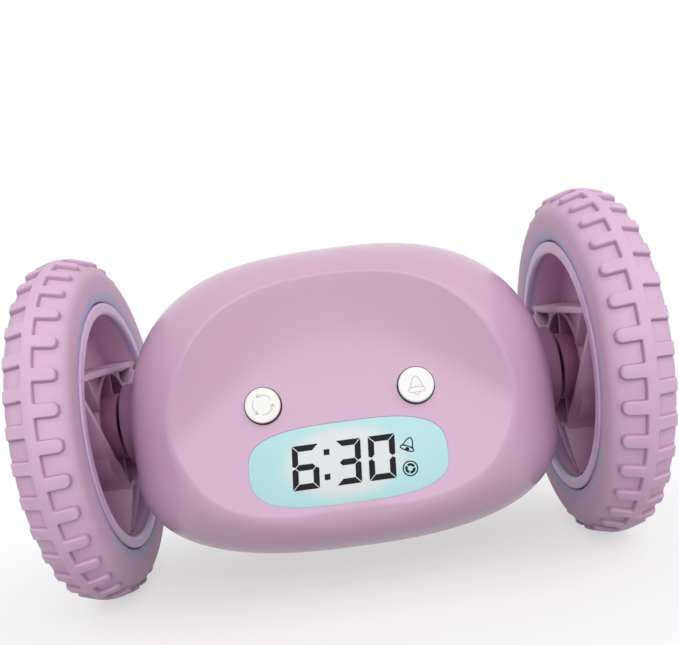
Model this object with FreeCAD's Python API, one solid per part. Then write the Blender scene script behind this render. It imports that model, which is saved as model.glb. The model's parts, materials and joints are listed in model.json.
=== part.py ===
"""Runaway alarm clock: a rounded clock body carried between two large driven wheels.

Millimetres, +Z up, X along the axle, the clock face looks along -Y.
The origin is on the floor, midway between the wheels and straight below the axle.
"""
import FreeCAD, Part
import math
import os

V = FreeCAD.Vector
X_DIR = V(1, 0, 0)
Y_DIR = V(0, 1, 0)
Z_DIR = V(0, 0, 1)
SIDES = {"left": -1, "right": 1}

# ---------------------------------------------------------------- wheels: driving dimensions
TYRE_R = 44.5             # over the tread lugs
WHEELS_OUT = 71.0         # outboard face of each tyre, from the middle of the clock
TYRE_W = 13.6
TREAD_DEPTH = 1.2
CROWN_R = 12.5            # rounding of the tread across the tyre, highest at the middle band
TYRE_TURN = {"left": 4.0, "right": 5.1}  # degrees that each tyre is turned on its rim
LUGS = 35                 # lugs in each row
LUG_SHARE = 0.38          # part of the pitch that a lug takes
LUG_IN = 1.6              # from the inboard sidewall to the lugs' free tips
BAND_IN = 6.3             # from the inboard sidewall to the middle band
BAND_W = 2.4
OUTER_ROW_END = 0.5       # from the outboard face back to the outer lugs
SHOULDER_IN = 1.8         # rounding of the inboard shoulder
SHOULDER_OUT = 0.8
BEAD_R = 32.65            # inner edge of the tyre's sidewalls
TYRE_WALL = 3.4
RIM_FLANGE_R = 32.4
RIM_BORE_R = 29.3         # inside of the rim's barrel
RIM_WALL = 1.5
FLANGE_T = 1.2
RIM_DISC_T = 1.4
RIM_DISC_INSET = 2.0      # outboard disc, in from the tyre's outboard face
FIT_GAP = 0.25            # between pieces that are clipped together
BEAD_ROUND = 0.35         # rounding of the sidewalls' inner edges
FLANGE_ROUND = 0.3
DISH_RING = 2.6           # raised rings on the outboard disc
DISH_T = 0.5
LUG_ROOT = 1.0            # how deep the lugs and the band are rooted in the carcass
LUG_JOIN = 0.2            # how far the lugs run into the band
LUG_TIP_ROUND = 0.42      # rounding of a lug's free corners, as a share of its width
CAP_R = 12.0
CAP_T = 1.6
WHEEL_SCREW_L = 9.0
WHEEL_SCREW_R = 1.2
WHEEL_SCREW_HEAD_R = 3.2
WHEEL_SCREW_HEAD_T = 1.0

# ---------------------------------------------------------------- hub carrier inside the rim
CARRIER_TOP = 15.7        # upper side of the level top plate, above the axle
CARRIER_FOOT = 16.4       # underside of the foot plate between the struts, below the axle
FOOT_SETBACK = 0.6        # the foot plate starts this far outboard of the flange
PLATE_T = 1.3
ARCH_R = 13.9             # inside of the arch round the hub
ARCH_T = 1.3
ARCH_SETBACK = 2.0
WEB_SETBACK = 2.6         # the web starts this far outboard of the flange
WEB_T = 1.2
STRUT_RIM_Z = 9.9         # height at which the slanted struts meet the rim
STRUT_FOOT_Y = 4.0
GUSSET_FOOT = (13.6, 6.3)  # y and z where a gusset from the plate's end meets the arch
SLOT_Y = (11.5, 21.0)     # window in the web behind the arch
SLOT_Z = (10.2, 13.6)
HUB_R = 8.6
HUB_BORE_R = 7.2
HUB_BORE_DEPTH = 3.5
HUB_PROUD = 0.1           # the hub stands out of the tyre's inboard face
RIB_T = 1.0
RIB_ROOT = 1.0            # how far a rib runs into the walls that it joins
SPOKE_HALF_GAP = 1.7      # from the wheel's middle plane to each rib of the bottom spoke, at the rim
SPOKE_SLOPE = 3.6         # how far the spoke's inboard edge recedes towards the rim
TAB = (2.6, 1.6)          # radial length and height of the tab inside the arch
TAB_DROP = 0.4            # from the arch's inboard edge to the tab
TAB_LONG = 3.0            # the tab's length along the axle
STRUT_SETBACK = 0.4
STRUT_RUN = 2.0           # how far a strut's middle line runs up past its meeting with the rim
GUSSET_TOP_Y = 22.7
GUSSET_SETBACK = 1.6      # of a gusset's inboard edge where it meets the arch
PLATE_STEP = 1.4          # notch in the plate's inboard edge
PLATE_STEP_Y = 15.0       # where that notch begins

# ---------------------------------------------------------------- clock body
BODY_HALF_W = 52.6
BODY_UP = 48.7            # from the widest level up to the crown
BODY_DOWN = 24.5          # from the widest level down to the belly
WIDEST_Z = -11.0          # widest level, relative to the axle
WIDEST_Y = -8.0           # widest station from front to back
FRONT_REACH = 33.8        # from the widest station to the nose of the full form
BACK_REACH = 46.0
PLAN_POWER = 2.4          # roundness from front to back
UPPER_POWER = 2.77        # squareness of the upper half of each section
LOWER_POWER = 2.56
WALL = 2.0
BACK_PANEL_Y = 36.0       # flat back panel
SEAM_Y = 20.0             # joint between the front and rear shells
SEAM_LIP = 2.5
SEAM_LIP_T = 1.0
FORM_AHEAD = 1.0          # the full form reaches this far ahead of the face's toe
SECTION_POINTS = 32       # points on each section of the form
FORM_STATIONS = 9         # sections on each side of the widest station
COLUMN_R = 2.9
COLUMN_L = 9.0            # screw columns in the front shell
COLUMN_FLOOR = 1.0        # closed end of those columns
COLUMN_GRIP = 4.0         # thickness under each shell screw's head
COLUMN_WEB_T = 1.6
COLUMN_PLACES = ((25.0, 21.0), (31.0, -20.0))  # x and z of the columns, relative to the axle
SCREW_TIP_CLEAR = 1.0     # from a shell screw's tip to the end of its hole
BOSS_R = 10.8
BOSS_OUT = 56.0           # outer end of a bearing boss, from the clock's middle
BOSS_DEPTH = 15.0         # from a boss's outer end to its inner end
CRADLE_T = 2.4
CRADLE_HALF_Y = 11.0
SADDLE_GAP = 0.15

# ---------------------------------------------------------------- clock face, a scoop in the front
TOE_Y = -38.5             # lower end of the face
TOE_Z = -21.0
FACE_TILT = 17.0          # degrees that the lower face leans back
BROW_LEAN = 0.5           # degrees that the upper wall leans back
BEND_Z = 13.5             # where the face turns up to the brow
BEND_ARCH = 0.0054        # how the bend drops towards the sides, per millimetre
BEND_SOFT = 5.0           # softness of the bend
BROW_CURL = -0.0023       # how the upper wall curls forward at the sides
EDGE_R = 1.2              # rounding of the face's edge
FACE_ROWS = 21            # rows and columns of points under the face's surface
FACE_MARGIN = 12.0        # that surface runs this far past the body above and below
FACE_SPREAD = 8.0         # and this far past it at the sides

# ---------------------------------------------------------------- face fittings, along the face from its toe
WINDOW_W = 44.5
WINDOW_H = 18.2
WINDOW_V = 11.0
WINDOW_POWER = 3.1
WINDOW_RECESS = 0.15
WINDOW_LIP = 1.3
WINDOW_LIP_T = 0.9
WINDOW_POINTS = 40        # points on the window's outline
LENS_SEAT = 0.3           # the lens lip sits this far behind the wall
LENS_CLEAR = 0.1          # between the lens and the display behind it
BUTTON_X = 17.25
BUTTON_V = 25.9
BUTTON_R = 4.0
BUTTON_GAP = 0.2
BUTTON_PROUD = 1.7
BUTTON_TRAVEL = 0.9
BUTTON_FLANGE = 0.7
BUTTON_FLANGE_T = 0.8
CAP_EDGE_R = 0.5          # rounding of the edges of buttons and hub caps
SWITCH_SIZE = 6.0
SWITCH_T = 2.0
SWITCH_TIP_R = 1.7
SWITCH_TIP_T = 0.5
PRESS_CLEAR = 0.06        # left between a fully pressed button and its switch
RUN_CLEAR = 0.3           # beside a button's flange
LCD_W = 42.0
LCD_H = 16.4
LCD_T = 1.6
BACKLIGHT_T = 2.4
LCD_FRAME_T = 1.3
BOARD_T = 1.6
BOARD_W = 66.0
BOARD_LOW = 3.0
BOARD_HIGH = 33.0
POST_X = 29.0
POST_V = (8.5, 28.5)
POST_R = 2.4
SCREW_R = 1.0
SCREW_HEAD_R = 2.0
SCREW_HEAD_T = 1.2
SCREW_L = 6.0
CROSS_SPAN = 1.3          # a screw's cross recess, as shares of the head's radius
CROSS_WIDTH = 0.3
CROSS_FLOOR = 0.55        # height of the recess's floor, as a share of the head's thickness
BUZZER_R = 7.0
BUZZER_T = 4.5
BUZZER_V = 25.0

# ---------------------------------------------------------------- back panel
BACK_BUTTONS = ("hour_button", "minute_button", "clock_button", "alarm_set_button")
BACK_BUTTON_PITCH = 9.0
BACK_BUTTON_R = 2.6
BACK_BUTTON_Z = -2.0
BACK_BUTTON_PROUD = 1.2
BACK_BOARD_W = 50.0
BACK_BOARD_H = 9.0
BACK_POST_X = 20.5
SOUND_HOLE_R = 0.8
SOUND_PITCH = 3.4
SOUND_Z = -13.0
STEM_L = 0.3              # stem behind a back button's flange

# ---------------------------------------------------------------- batteries
CELL_R = 5.25
CELL_L = 44.5
CELL_COUNT = 4
CELL_PITCH = 10.8
CELL_FIRST_Y = -19.0
CELL_Z = -24.2
CELL_TIP_R = 1.9
CELL_TIP_L = 1.0
TRAY_T = 1.2
CONTACT_T = 0.4
CONTACT_ROOM = 3.0
CONTACT_REACH = 3.8       # a leaf's half height, and its reach past the last cell's middle
CONTACT_RING_R = 2.6      # spring ring that presses on a cell's end
CONTACT_RING_T = 0.6
CONTACT_TOUCH = 0.2       # from the cell's end to the ring
CELL_ROOM = 0.3           # above the cells, under the tray's top
DOOR_CORNER_R = 3.0
DOOR_GAP = 0.25
TRAY_CLEAR = 0.12         # between the tray and the belly's curved inside

# ---------------------------------------------------------------- drive, the same on both sides
AXLE_R = 2.0
MOTOR_R = 10.0
MOTOR_HALF_T = 7.7
MOTOR_L = 25.0
MOTOR_IN = 1.5            # inner end of the motor, from the clock's middle
MOTOR_Y = 13.8
MOTOR_Z = -6.0
MOTOR_SHAFT_R = 1.0
CASE_T = 1.4
CASE_DEPTH = 7.4          # inside, between the case's plate and its lid
MODULE = 0.5
OUTPUT_TEETH = 40
SMALL_TEETH = 10
IDLER_TEETH = 32
PINION_TEETH = 10
GEAR_CLEAR = 1.0
IDLER_W = 2.0
STEP_W = 3.4
OUTPUT_W = 2.6
IDLER_PIN_R = 1.0
RUN_FIT = 0.05            # radial clearance of a turning fit
TIP_CLEAR = 1.0           # from the gears' tips to the case's wall
BUSH_R = 4.0
BUSH_L = 7.0
BUSH_FLANGE_R = 5.5
BUSH_FLANGE_T = 1.0
BACKLASH = 0.2
TOOTH_ADDENDUM = 0.9      # in modules
TOOTH_DEDENDUM = 1.25     # in modules
FLANK_ANGLE = 20.0        # degrees
PINION_GAP = 0.5          # between the case and the motor pinion's teeth

# ---------------------------------------------------------------- derived places
AXLE_Z = TYRE_R
TYRE_IN = WHEELS_OUT - TYRE_W
FLOOR_R = TYRE_R - TREAD_DEPTH
BARREL_R = RIM_BORE_R + RIM_WALL
DISC_OUT = WHEELS_OUT - RIM_DISC_INSET
DISC_IN = DISC_OUT - RIM_DISC_T
CROWN_X = TYRE_IN + BAND_IN + BAND_W / 2
BODY_Z = AXLE_Z + WIDEST_Z
TILT = math.radians(FACE_TILT)
CASE_X = MOTOR_IN + MOTOR_L
LID_X = CASE_X + CASE_T + CASE_DEPTH
WINDOW_BACK = WALL + LENS_SEAT + WINDOW_LIP_T
LCD_FRONT = WINDOW_BACK + LENS_CLEAR
LIGHT_FRONT = LCD_FRONT + LCD_T
BOARD_FRONT = LIGHT_FRONT + BACKLIGHT_T
BOARD_BACK = BOARD_FRONT + BOARD_T
SWITCH_TOP = BOARD_FRONT - SWITCH_T - SWITCH_TIP_T
BACK_SWITCH_TOP = WALL + RUN_CLEAR + BUTTON_FLANGE_T + STEM_L + BUTTON_TRAVEL + PRESS_CLEAR
BACK_BOARD_FRONT = BACK_SWITCH_TOP + SWITCH_TIP_T + SWITCH_T
BACK_BOARD_BACK = BACK_BOARD_FRONT + BOARD_T
IDLER_X = CASE_X + CASE_T + GEAR_CLEAR
FORM_FRONT = TOE_Y - FORM_AHEAD
PASS = 1.0                # how far a cutter passes the face that it opens
FACE_PASS = 9.0           # the same in front of the curved face
FAR = 120.0               # beyond every piece
TINY = 1e-4


# ---------------------------------------------------------------- small helpers
def rod(radius, x0, x1, y=0.0, z=AXLE_Z):
    """Solid cylinder along X between two stations."""
    return Part.makeCylinder(radius, abs(x1 - x0), V(min(x0, x1), y, z), X_DIR)


def along_y(radius, y0, y1, x, z):
    """Solid cylinder along Y; z is relative to the axle."""
    return Part.makeCylinder(radius, y1 - y0, V(x, y0, AXLE_Z + z), Y_DIR)


def tube(outer, inner, x0, x1, y=0.0, z=AXLE_Z):
    """Ring along X."""
    return rod(outer, x0, x1, y, z).cut(rod(inner, min(x0, x1) - PASS, max(x0, x1) + PASS, y, z))


def block(x0, x1, y0, y1, z0, z1):
    """Box between two corners."""
    return Part.makeBox(x1 - x0, y1 - y0, z1 - z0, V(x0, y0, z0))


def plate(x0, x1, points):
    """Flat piece with an outline of (y, z) points, thick along X."""
    corners = [V(x0, y, z) for y, z in points]
    outline = Part.makePolygon(corners + corners[:1])
    return Part.Face(outline).extrude(V(x1 - x0, 0, 0))


def wall_between(x0, x1, start, end, thickness):
    """Straight upright wall along X, centred on a line from start to end in (y, z)."""
    dy = end[0] - start[0]
    dz = end[1] - start[1]
    length = math.hypot(dy, dz)
    ny = -dz / length * thickness / 2
    nz = dy / length * thickness / 2
    corners = [(start[0] + ny, start[1] + nz), (end[0] + ny, end[1] + nz),
               (end[0] - ny, end[1] - nz), (start[0] - ny, start[1] - nz)]
    return plate(x0, x1, corners)


def join(shapes):
    """One solid from several that overlap or touch."""
    shapes = list(shapes)
    return shapes[0].multiFuse(shapes[1:]).removeSplitter()


def turned(shape, degrees):
    """Copy turned about the wheels' axle."""
    copy = shape.copy()
    copy.rotate(V(0, 0, AXLE_Z), X_DIR, degrees)
    return copy


def on_side(shape, side):
    """A piece built for the right side, mirrored when side is -1."""
    return shape if side > 0 else shape.mirror(V(0, 0, 0), X_DIR)


def revolve_x(points):
    """Ring about the axle from (x, radius) corner points."""
    corners = [V(x, 0, AXLE_Z + radius) for x, radius in points]
    outline = Part.makePolygon(corners + corners[:1])
    return Part.Face(outline).revolve(V(0, 0, AXLE_Z), X_DIR, 360)


def on_face(shape):
    """Move a piece drawn with x across, y up along the face and z out of it."""
    copy = shape.copy()
    copy.rotate(V(0, 0, 0), X_DIR, 90 - FACE_TILT)
    copy.translate(V(0, TOE_Y, AXLE_Z + TOE_Z))
    return copy


def face_block(width, low, high, depth0, depth1):
    """Box in face coordinates, centred across: depth is measured inwards from the face."""
    return Part.makeBox(width, high - low, depth1 - depth0, V(-width / 2, low, -depth1))


def face_rod(radius, depth0, depth1, x, v):
    """Cylinder in face coordinates; a negative depth stands out of the face."""
    return Part.makeCylinder(radius, depth1 - depth0, V(x, v, -depth1), Z_DIR)


def loop_of(points):
    """Smooth closed outline through points."""
    curve = Part.BSplineCurve()
    curve.interpolate(Points=points, PeriodicFlag=True)
    return Part.Wire(curve.toShape())


# ---------------------------------------------------------------- body form
def section(y, inset):
    """Outline of the body's full form at one station, taken in by inset."""
    reach = FRONT_REACH if y < WIDEST_Y else BACK_REACH
    share = abs(y - WIDEST_Y) / (reach - inset)
    shrink = (1 - share ** PLAN_POWER) ** (1 / PLAN_POWER)
    points = []
    for i in range(SECTION_POINTS):
        angle = 2 * math.pi * i / SECTION_POINTS
        across, up = math.cos(angle), math.sin(angle)
        height = BODY_UP if up > 0 else BODY_DOWN
        power = UPPER_POWER if up > 0 else LOWER_POWER
        spread = (abs(across) / (BODY_HALF_W - inset)) ** power + (abs(up) / (height - inset)) ** power
        radius = shrink / spread ** (1 / power)
        points.append(V(radius * across, y, BODY_Z + radius * up))
    return loop_of(points)


def stations(y0, y1, count):
    """Stations that crowd towards the far end, where the form closes quickly."""
    return [y0 + (y1 - y0) * math.sin(math.pi / 2 * i / (count - 1)) for i in range(count)]


def body_form(inset, front, back):
    """Solid of the full body form between two stations."""
    ahead = stations(WIDEST_Y, front, FORM_STATIONS)[::-1]
    behind = stations(WIDEST_Y, back, FORM_STATIONS)[1:]
    wires = [section(y, inset) for y in ahead + behind]
    return Part.makeLoft(wires, True, False)


def face_y(x, z):
    """Depth of the scooped face at a point; z is relative to the axle."""
    lean = math.tan(TILT)
    brow = math.tan(math.radians(BROW_LEAN))
    above = z - (BEND_Z - BEND_ARCH * x * x)
    bend = BEND_SOFT * math.log1p(math.exp(min(above / BEND_SOFT, 60.0)))
    upper = 1 / (1 + math.exp(-above / BEND_SOFT))
    return TOE_Y + (z - TOE_Z) * lean - (lean - brow) * bend + BROW_CURL * upper * x * x


def face_cutter(inset):
    """Everything in front of the face, moved back by inset."""
    back = inset / math.cos(TILT)
    spread = BODY_HALF_W + FACE_SPREAD
    low = WIDEST_Z - BODY_DOWN - FACE_MARGIN
    high = WIDEST_Z + BODY_UP + FACE_MARGIN
    columns = [-spread + 2 * spread * j / (FACE_ROWS - 1) for j in range(FACE_ROWS)]
    rows = []
    for i in range(FACE_ROWS):
        z = low + (high - low) * i / (FACE_ROWS - 1)
        rows.append([V(x, face_y(x, z) + back, AXLE_Z + z) for x in columns])
    surface = Part.BSplineSurface()
    surface.interpolate(rows)
    return surface.toShape().extrude(V(0, -2 * BODY_HALF_W, 0))


def outer_form():
    """Outside of the body: the full form less the scoop, with the face's edge rounded."""
    form = body_form(0, FORM_FRONT, BACK_PANEL_Y).cut(face_cutter(0))
    face_edge = [e for e in form.Edges if e.Closed and e.BoundBox.YMax < WIDEST_Y]
    return form.makeFillet(EDGE_R, face_edge)


OUTER = outer_form()
INNER = body_form(WALL, FORM_FRONT + WALL, BACK_PANEL_Y - WALL).cut(face_cutter(WALL))
AHEAD = block(-FAR, FAR, -FAR, SEAM_Y, -FAR, FAR)
BEHIND = block(-FAR, FAR, SEAM_Y, FAR, -FAR, FAR)


def within_body(shape):
    """Trim a piece to the inside of the body."""
    return shape.common(body_form(WALL + TRAY_CLEAR, FORM_FRONT + WALL, BACK_PANEL_Y - WALL))


# ---------------------------------------------------------------- display window outline
def window_prism(grow, depth0, depth1):
    """Rounded display outline, grown by a margin, in face coordinates."""
    half_w = WINDOW_W / 2 + grow
    half_h = WINDOW_H / 2 + grow
    points = []
    for i in range(WINDOW_POINTS):
        angle = 2 * math.pi * (i + 0.5) / WINDOW_POINTS
        across, up = math.cos(angle), math.sin(angle)
        spread = (abs(across) / half_w) ** WINDOW_POWER + (abs(up) / half_h) ** WINDOW_POWER
        radius = spread ** (-1 / WINDOW_POWER)
        points.append(V(radius * across, WINDOW_V + radius * up, -depth1))
    return Part.Face(loop_of(points)).extrude(V(0, 0, depth1 - depth0))


def button_places():
    return {"run_button": -BUTTON_X, "alarm_button": BUTTON_X}


def cell_places():
    return [CELL_FIRST_Y + i * CELL_PITCH for i in range(CELL_COUNT)]


# ---------------------------------------------------------------- battery compartment
TRAY_HALF_X = CELL_L / 2 + CONTACT_ROOM + TRAY_T
TRAY_Y0 = CELL_FIRST_Y - CELL_PITCH / 2 - TRAY_T
TRAY_Y1 = CELL_FIRST_Y + (CELL_COUNT - 0.5) * CELL_PITCH + TRAY_T
TRAY_TOP = AXLE_Z + CELL_Z + CELL_R + CELL_ROOM + TRAY_T
BELLY = AXLE_Z + WIDEST_Z - BODY_DOWN - PASS


def door_prism(grow):
    """Upright column through the belly, the shape of the battery opening."""
    column = block(-TRAY_HALF_X + TRAY_T - grow, TRAY_HALF_X - TRAY_T + grow,
                   TRAY_Y0 + TRAY_T - grow, TRAY_Y1 - TRAY_T + grow, BELLY, AXLE_Z + CELL_Z)
    uprights = [e for e in column.Edges if abs(e.tangentAt(e.FirstParameter).z) > 0.9]
    return column.makeFillet(DOOR_CORNER_R + grow, uprights)


def battery_tray():
    outer = block(-TRAY_HALF_X, TRAY_HALF_X, TRAY_Y0, TRAY_Y1, BELLY, TRAY_TOP)
    inner = block(-TRAY_HALF_X + TRAY_T, TRAY_HALF_X - TRAY_T, TRAY_Y0 + TRAY_T, TRAY_Y1 - TRAY_T,
                  BELLY - PASS, TRAY_TOP - TRAY_T)
    return within_body(outer.cut(inner))


def batteries():
    z = AXLE_Z + CELL_Z
    cells = []
    for i, y in enumerate(cell_places()):
        way = 1 if i % 2 else -1
        body = rod(CELL_R, -CELL_L / 2, CELL_L / 2 - CELL_TIP_L, y, z)
        tip = rod(CELL_TIP_R, CELL_L / 2 - CELL_TIP_L, CELL_L / 2, y, z)
        cells.append(on_side(body.fuse(tip), way))
    return Part.makeCompound(cells)


def battery_contacts():
    """Spring plates at both ends of the cells, each joining a neighbouring pair."""
    plates = []
    z = AXLE_Z + CELL_Z
    wall_x = TRAY_HALF_X - TRAY_T
    places = cell_places()
    pairs = {1: [(0, 1), (2, 3)], -1: [(0, 0), (1, 2), (3, 3)]}
    for way, groups in pairs.items():
        for first, last in groups:
            leaf = block(wall_x - CONTACT_T, wall_x,
                         places[first] - CONTACT_REACH, places[last] + CONTACT_REACH,
                         z - CONTACT_REACH, z + CONTACT_REACH)
            rings = [tube(CONTACT_RING_R, CONTACT_RING_R - CONTACT_RING_T, CELL_L / 2 + CONTACT_TOUCH,
                          wall_x - CONTACT_T, y, z) for y in places[first:last + 1]]
            plates.append(on_side(join([leaf] + rings), way))
    return Part.makeCompound(plates)


# ---------------------------------------------------------------- shells
def seam_lip():
    """Tongue of the rear shell that steps inside the front shell."""
    band = block(-FAR, FAR, SEAM_Y - SEAM_LIP, SEAM_Y, -FAR, FAR)
    lip_front = FORM_FRONT + WALL
    outer = body_form(WALL + TRAY_CLEAR, lip_front, BACK_PANEL_Y - WALL)
    inner = body_form(WALL + TRAY_CLEAR + SEAM_LIP_T, lip_front + SEAM_LIP_T,
                      BACK_PANEL_Y - WALL - SEAM_LIP_T)
    root = block(-FAR, FAR, SEAM_Y, SEAM_Y + SEAM_LIP_T, -FAR, FAR).common(OUTER).cut(inner)
    notches = [block(-TRAY_HALF_X - FIT_GAP, TRAY_HALF_X + FIT_GAP, 0, SEAM_Y, BELLY, TRAY_TOP + FIT_GAP)]
    for x, z in column_places():
        near = abs(x) - COLUMN_R - FIT_GAP
        notch = block(near, FAR, 0, SEAM_Y, AXLE_Z + z - COLUMN_R - FIT_GAP, AXLE_Z + z + COLUMN_R + FIT_GAP)
        notches.append(on_side(notch, x))
    return outer.cut(inner).common(band).cut(Part.makeCompound(notches)).fuse(root)


def boss(side):
    """Bearing boss on the front shell's side."""
    return on_side(rod(BOSS_R, BOSS_OUT - BOSS_DEPTH, BOSS_OUT), side)


def boss_seat(side):
    """Hollow of a bearing boss: the bush and its flange fill it."""
    inner_end = BOSS_OUT - BOSS_DEPTH - PASS
    return on_side(join([rod(BUSH_R, inner_end, BOSS_OUT + PASS),
                         rod(BUSH_FLANGE_R, inner_end, BOSS_OUT - BUSH_L)]), side)


def cradle(side):
    """Rib that stands on the belly and carries a gear case in its saddle."""
    middle = (CASE_X + LID_X) / 2
    rib = block(middle - CRADLE_T / 2, middle + CRADLE_T / 2, -CRADLE_HALF_Y, CRADLE_HALF_Y,
                BELLY, AXLE_Z - CRADLE_HALF_Y / 2)
    saddle = case_outline(CASE_X - PASS, LID_X + PASS, -SADDLE_GAP)
    return on_side(rib.common(body_form(WALL / 2, FORM_FRONT, BACK_PANEL_Y)).cut(saddle), side)


def screw_column(x, z, y0, y1):
    """Screw column along Y with a web that ties it to the nearest side of the shell."""
    way = 1 if x > 0 else -1
    column = along_y(COLUMN_R, y0, y1, x, z)
    web = block(min(x, way * FAR), max(x, way * FAR), y0, y1,
                AXLE_Z + z - COLUMN_WEB_T / 2, AXLE_Z + z + COLUMN_WEB_T / 2)
    return column.fuse(web).common(OUTER)


def column_places():
    return [(way * x, z) for way in (-1, 1) for x, z in COLUMN_PLACES]


def screw_along(length, head_r, head_t, shank_r):
    """Pan-head screw: the head's underside is at the origin and the shank points down."""
    head = Part.makeCylinder(head_r, head_t)
    shank = Part.makeCylinder(shank_r, length, V(0, 0, -length))
    span, width = head_r * CROSS_SPAN, head_r * CROSS_WIDTH
    slot_bar = Part.makeBox(span, width, head_t, V(-span / 2, -width / 2, head_t * CROSS_FLOOR))
    cross = slot_bar.copy()
    cross.rotate(V(0, 0, 0), Z_DIR, 90)
    return head.fuse(shank).cut(slot_bar.fuse(cross))


def front_shell():
    skin = OUTER.cut(INNER).common(AHEAD)
    added = [on_face(face_rod(POST_R, WALL / 2, BOARD_FRONT, x, v)) for x, v in post_places()]
    added += [boss(side) for side in SIDES.values()]
    added += [cradle(side) for side in SIDES.values()]
    added += [screw_column(x, z, SEAM_Y - COLUMN_L, SEAM_Y) for x, z in column_places()]
    shell = skin.multiFuse(added)
    holes = [boss_seat(side) for side in SIDES.values()]
    holes += [on_face(face_rod(BUTTON_R + BUTTON_GAP, -FACE_PASS, WALL * 2, x, BUTTON_V))
              for x in button_places().values()]
    holes += [on_face(face_rod(SCREW_R, BOARD_BACK - SCREW_L, BOARD_FRONT + PASS, x, v))
              for x, v in post_places()]
    holes += [along_y(SCREW_R, SEAM_Y - COLUMN_L + COLUMN_FLOOR, SEAM_Y + PASS, x, z)
              for x, z in column_places()]
    holes += [on_face(window_prism(0, -FACE_PASS, WALL * 2)), door_prism(0)]
    return shell.cut(Part.makeCompound(holes))


def rear_shell():
    skin = OUTER.cut(INNER).common(BEHIND)
    panel_in = BACK_PANEL_Y - 2 * WALL
    panel_out = BACK_PANEL_Y + PASS
    added = [seam_lip()]
    added += [screw_column(x, z, SEAM_Y, BACK_PANEL_Y) for x, z in column_places()]
    added += [along_y(POST_R, BACK_PANEL_Y - BACK_BOARD_FRONT, BACK_PANEL_Y - WALL / 2, x, BACK_BUTTON_Z)
              for x in back_post_places()]
    shell = skin.multiFuse(added)
    holes = []
    for x, z in column_places():
        holes.append(along_y(SCREW_R, SEAM_Y - PASS, SEAM_Y + COLUMN_GRIP + PASS, x, z))
        holes.append(along_y(SCREW_HEAD_R + FIT_GAP, SEAM_Y + COLUMN_GRIP, panel_out, x, z))
    for x in back_button_places().values():
        holes.append(along_y(BACK_BUTTON_R + BUTTON_GAP, panel_in, panel_out, x, BACK_BUTTON_Z))
    for x, z in sound_holes():
        holes.append(along_y(SOUND_HOLE_R, panel_in, panel_out, x, SOUND_Z + z))
    for x in back_post_places():
        screw_tip = BACK_PANEL_Y - BACK_BOARD_BACK + SCREW_L
        holes.append(along_y(SCREW_R, BACK_PANEL_Y - BACK_BOARD_BACK, screw_tip, x, BACK_BUTTON_Z))
    return shell.cut(Part.makeCompound(holes))


def shell_screws():
    screws = []
    for x, z in column_places():
        length = COLUMN_GRIP + COLUMN_L - COLUMN_FLOOR - SCREW_TIP_CLEAR
        screw = screw_along(length, SCREW_HEAD_R, SCREW_HEAD_T, SCREW_R)
        screw.rotate(V(0, 0, 0), X_DIR, -90)
        screw.translate(V(x, SEAM_Y + COLUMN_GRIP, AXLE_Z + z))
        screws.append(screw)
    return Part.makeCompound(screws)


def battery_door():
    return OUTER.cut(INNER).common(door_prism(-DOOR_GAP))


# ---------------------------------------------------------------- clock module behind the face
def post_places():
    return [(way * POST_X, v) for way in (-1, 1) for v in POST_V]


def display_window():
    """Clear lens, almost flush in the face, with a lip behind the wall."""
    lens = window_prism(-FIT_GAP / 2, WINDOW_RECESS, WALL + LENS_SEAT)
    lip = window_prism(WINDOW_LIP, WALL + LENS_SEAT, WINDOW_BACK)
    return on_face(join([lens, lip]))


def lcd_panel():
    return on_face(face_block(LCD_W, WINDOW_V - LCD_H / 2, WINDOW_V + LCD_H / 2, LCD_FRONT, LIGHT_FRONT))


def lcd_backlight():
    """Light guide behind the display."""
    return on_face(face_block(LCD_W, WINDOW_V - LCD_H / 2, WINDOW_V + LCD_H / 2, LIGHT_FRONT, BOARD_FRONT))


def lcd_frame():
    """Frame that holds the display and its light guide against the board."""
    grow = LCD_FRAME_T + FIT_GAP
    outer = face_block(LCD_W + 2 * grow, WINDOW_V - LCD_H / 2 - grow, WINDOW_V + LCD_H / 2 + grow,
                       WINDOW_BACK, BOARD_FRONT)
    inner = face_block(LCD_W + 2 * FIT_GAP, WINDOW_V - LCD_H / 2 - FIT_GAP, WINDOW_V + LCD_H / 2 + FIT_GAP,
                       WINDOW_BACK - PASS, BOARD_FRONT + PASS)
    return on_face(outer.cut(inner))


def main_board():
    board = face_block(BOARD_W, BOARD_LOW, BOARD_HIGH, BOARD_FRONT, BOARD_BACK)
    holes = [face_rod(SCREW_R + FIT_GAP, 0, 2 * BOARD_BACK, x, v) for x, v in post_places()]
    return on_face(board.cut(Part.makeCompound(holes)))


def switch(depth_top, depth_board):
    """Push switch standing on a board: square body and round tip."""
    corner = V(-SWITCH_SIZE / 2, -SWITCH_SIZE / 2, -depth_board)
    body = Part.makeBox(SWITCH_SIZE, SWITCH_SIZE, SWITCH_T, corner)
    tip = Part.makeCylinder(SWITCH_TIP_R, SWITCH_TIP_T, V(0, 0, -depth_top - SWITCH_TIP_T))
    return body.fuse(tip)


def front_switches():
    pieces = []
    for x in button_places().values():
        piece = switch(SWITCH_TOP, BOARD_FRONT)
        piece.translate(V(x, BUTTON_V, 0))
        pieces.append(on_face(piece))
    return Part.makeCompound(pieces)


def button(radius, proud, stem_end):
    """Push button along +Z: cap through the wall, flange behind it and a stem towards the switch."""
    flange_top = -WALL - RUN_CLEAR
    cap = Part.makeCylinder(radius, proud - flange_top, V(0, 0, flange_top))
    rim = [e for e in cap.Edges if e.Closed and e.BoundBox.ZMin > proud - TINY]
    cap = cap.makeFillet(CAP_EDGE_R, rim)
    flange = Part.makeCylinder(radius + BUTTON_FLANGE, BUTTON_FLANGE_T, V(0, 0, flange_top - BUTTON_FLANGE_T))
    stem = Part.makeCylinder(SWITCH_TIP_R, flange_top - BUTTON_FLANGE_T + stem_end,
                             V(0, 0, -stem_end))
    return cap.multiFuse([flange, stem])


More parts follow.
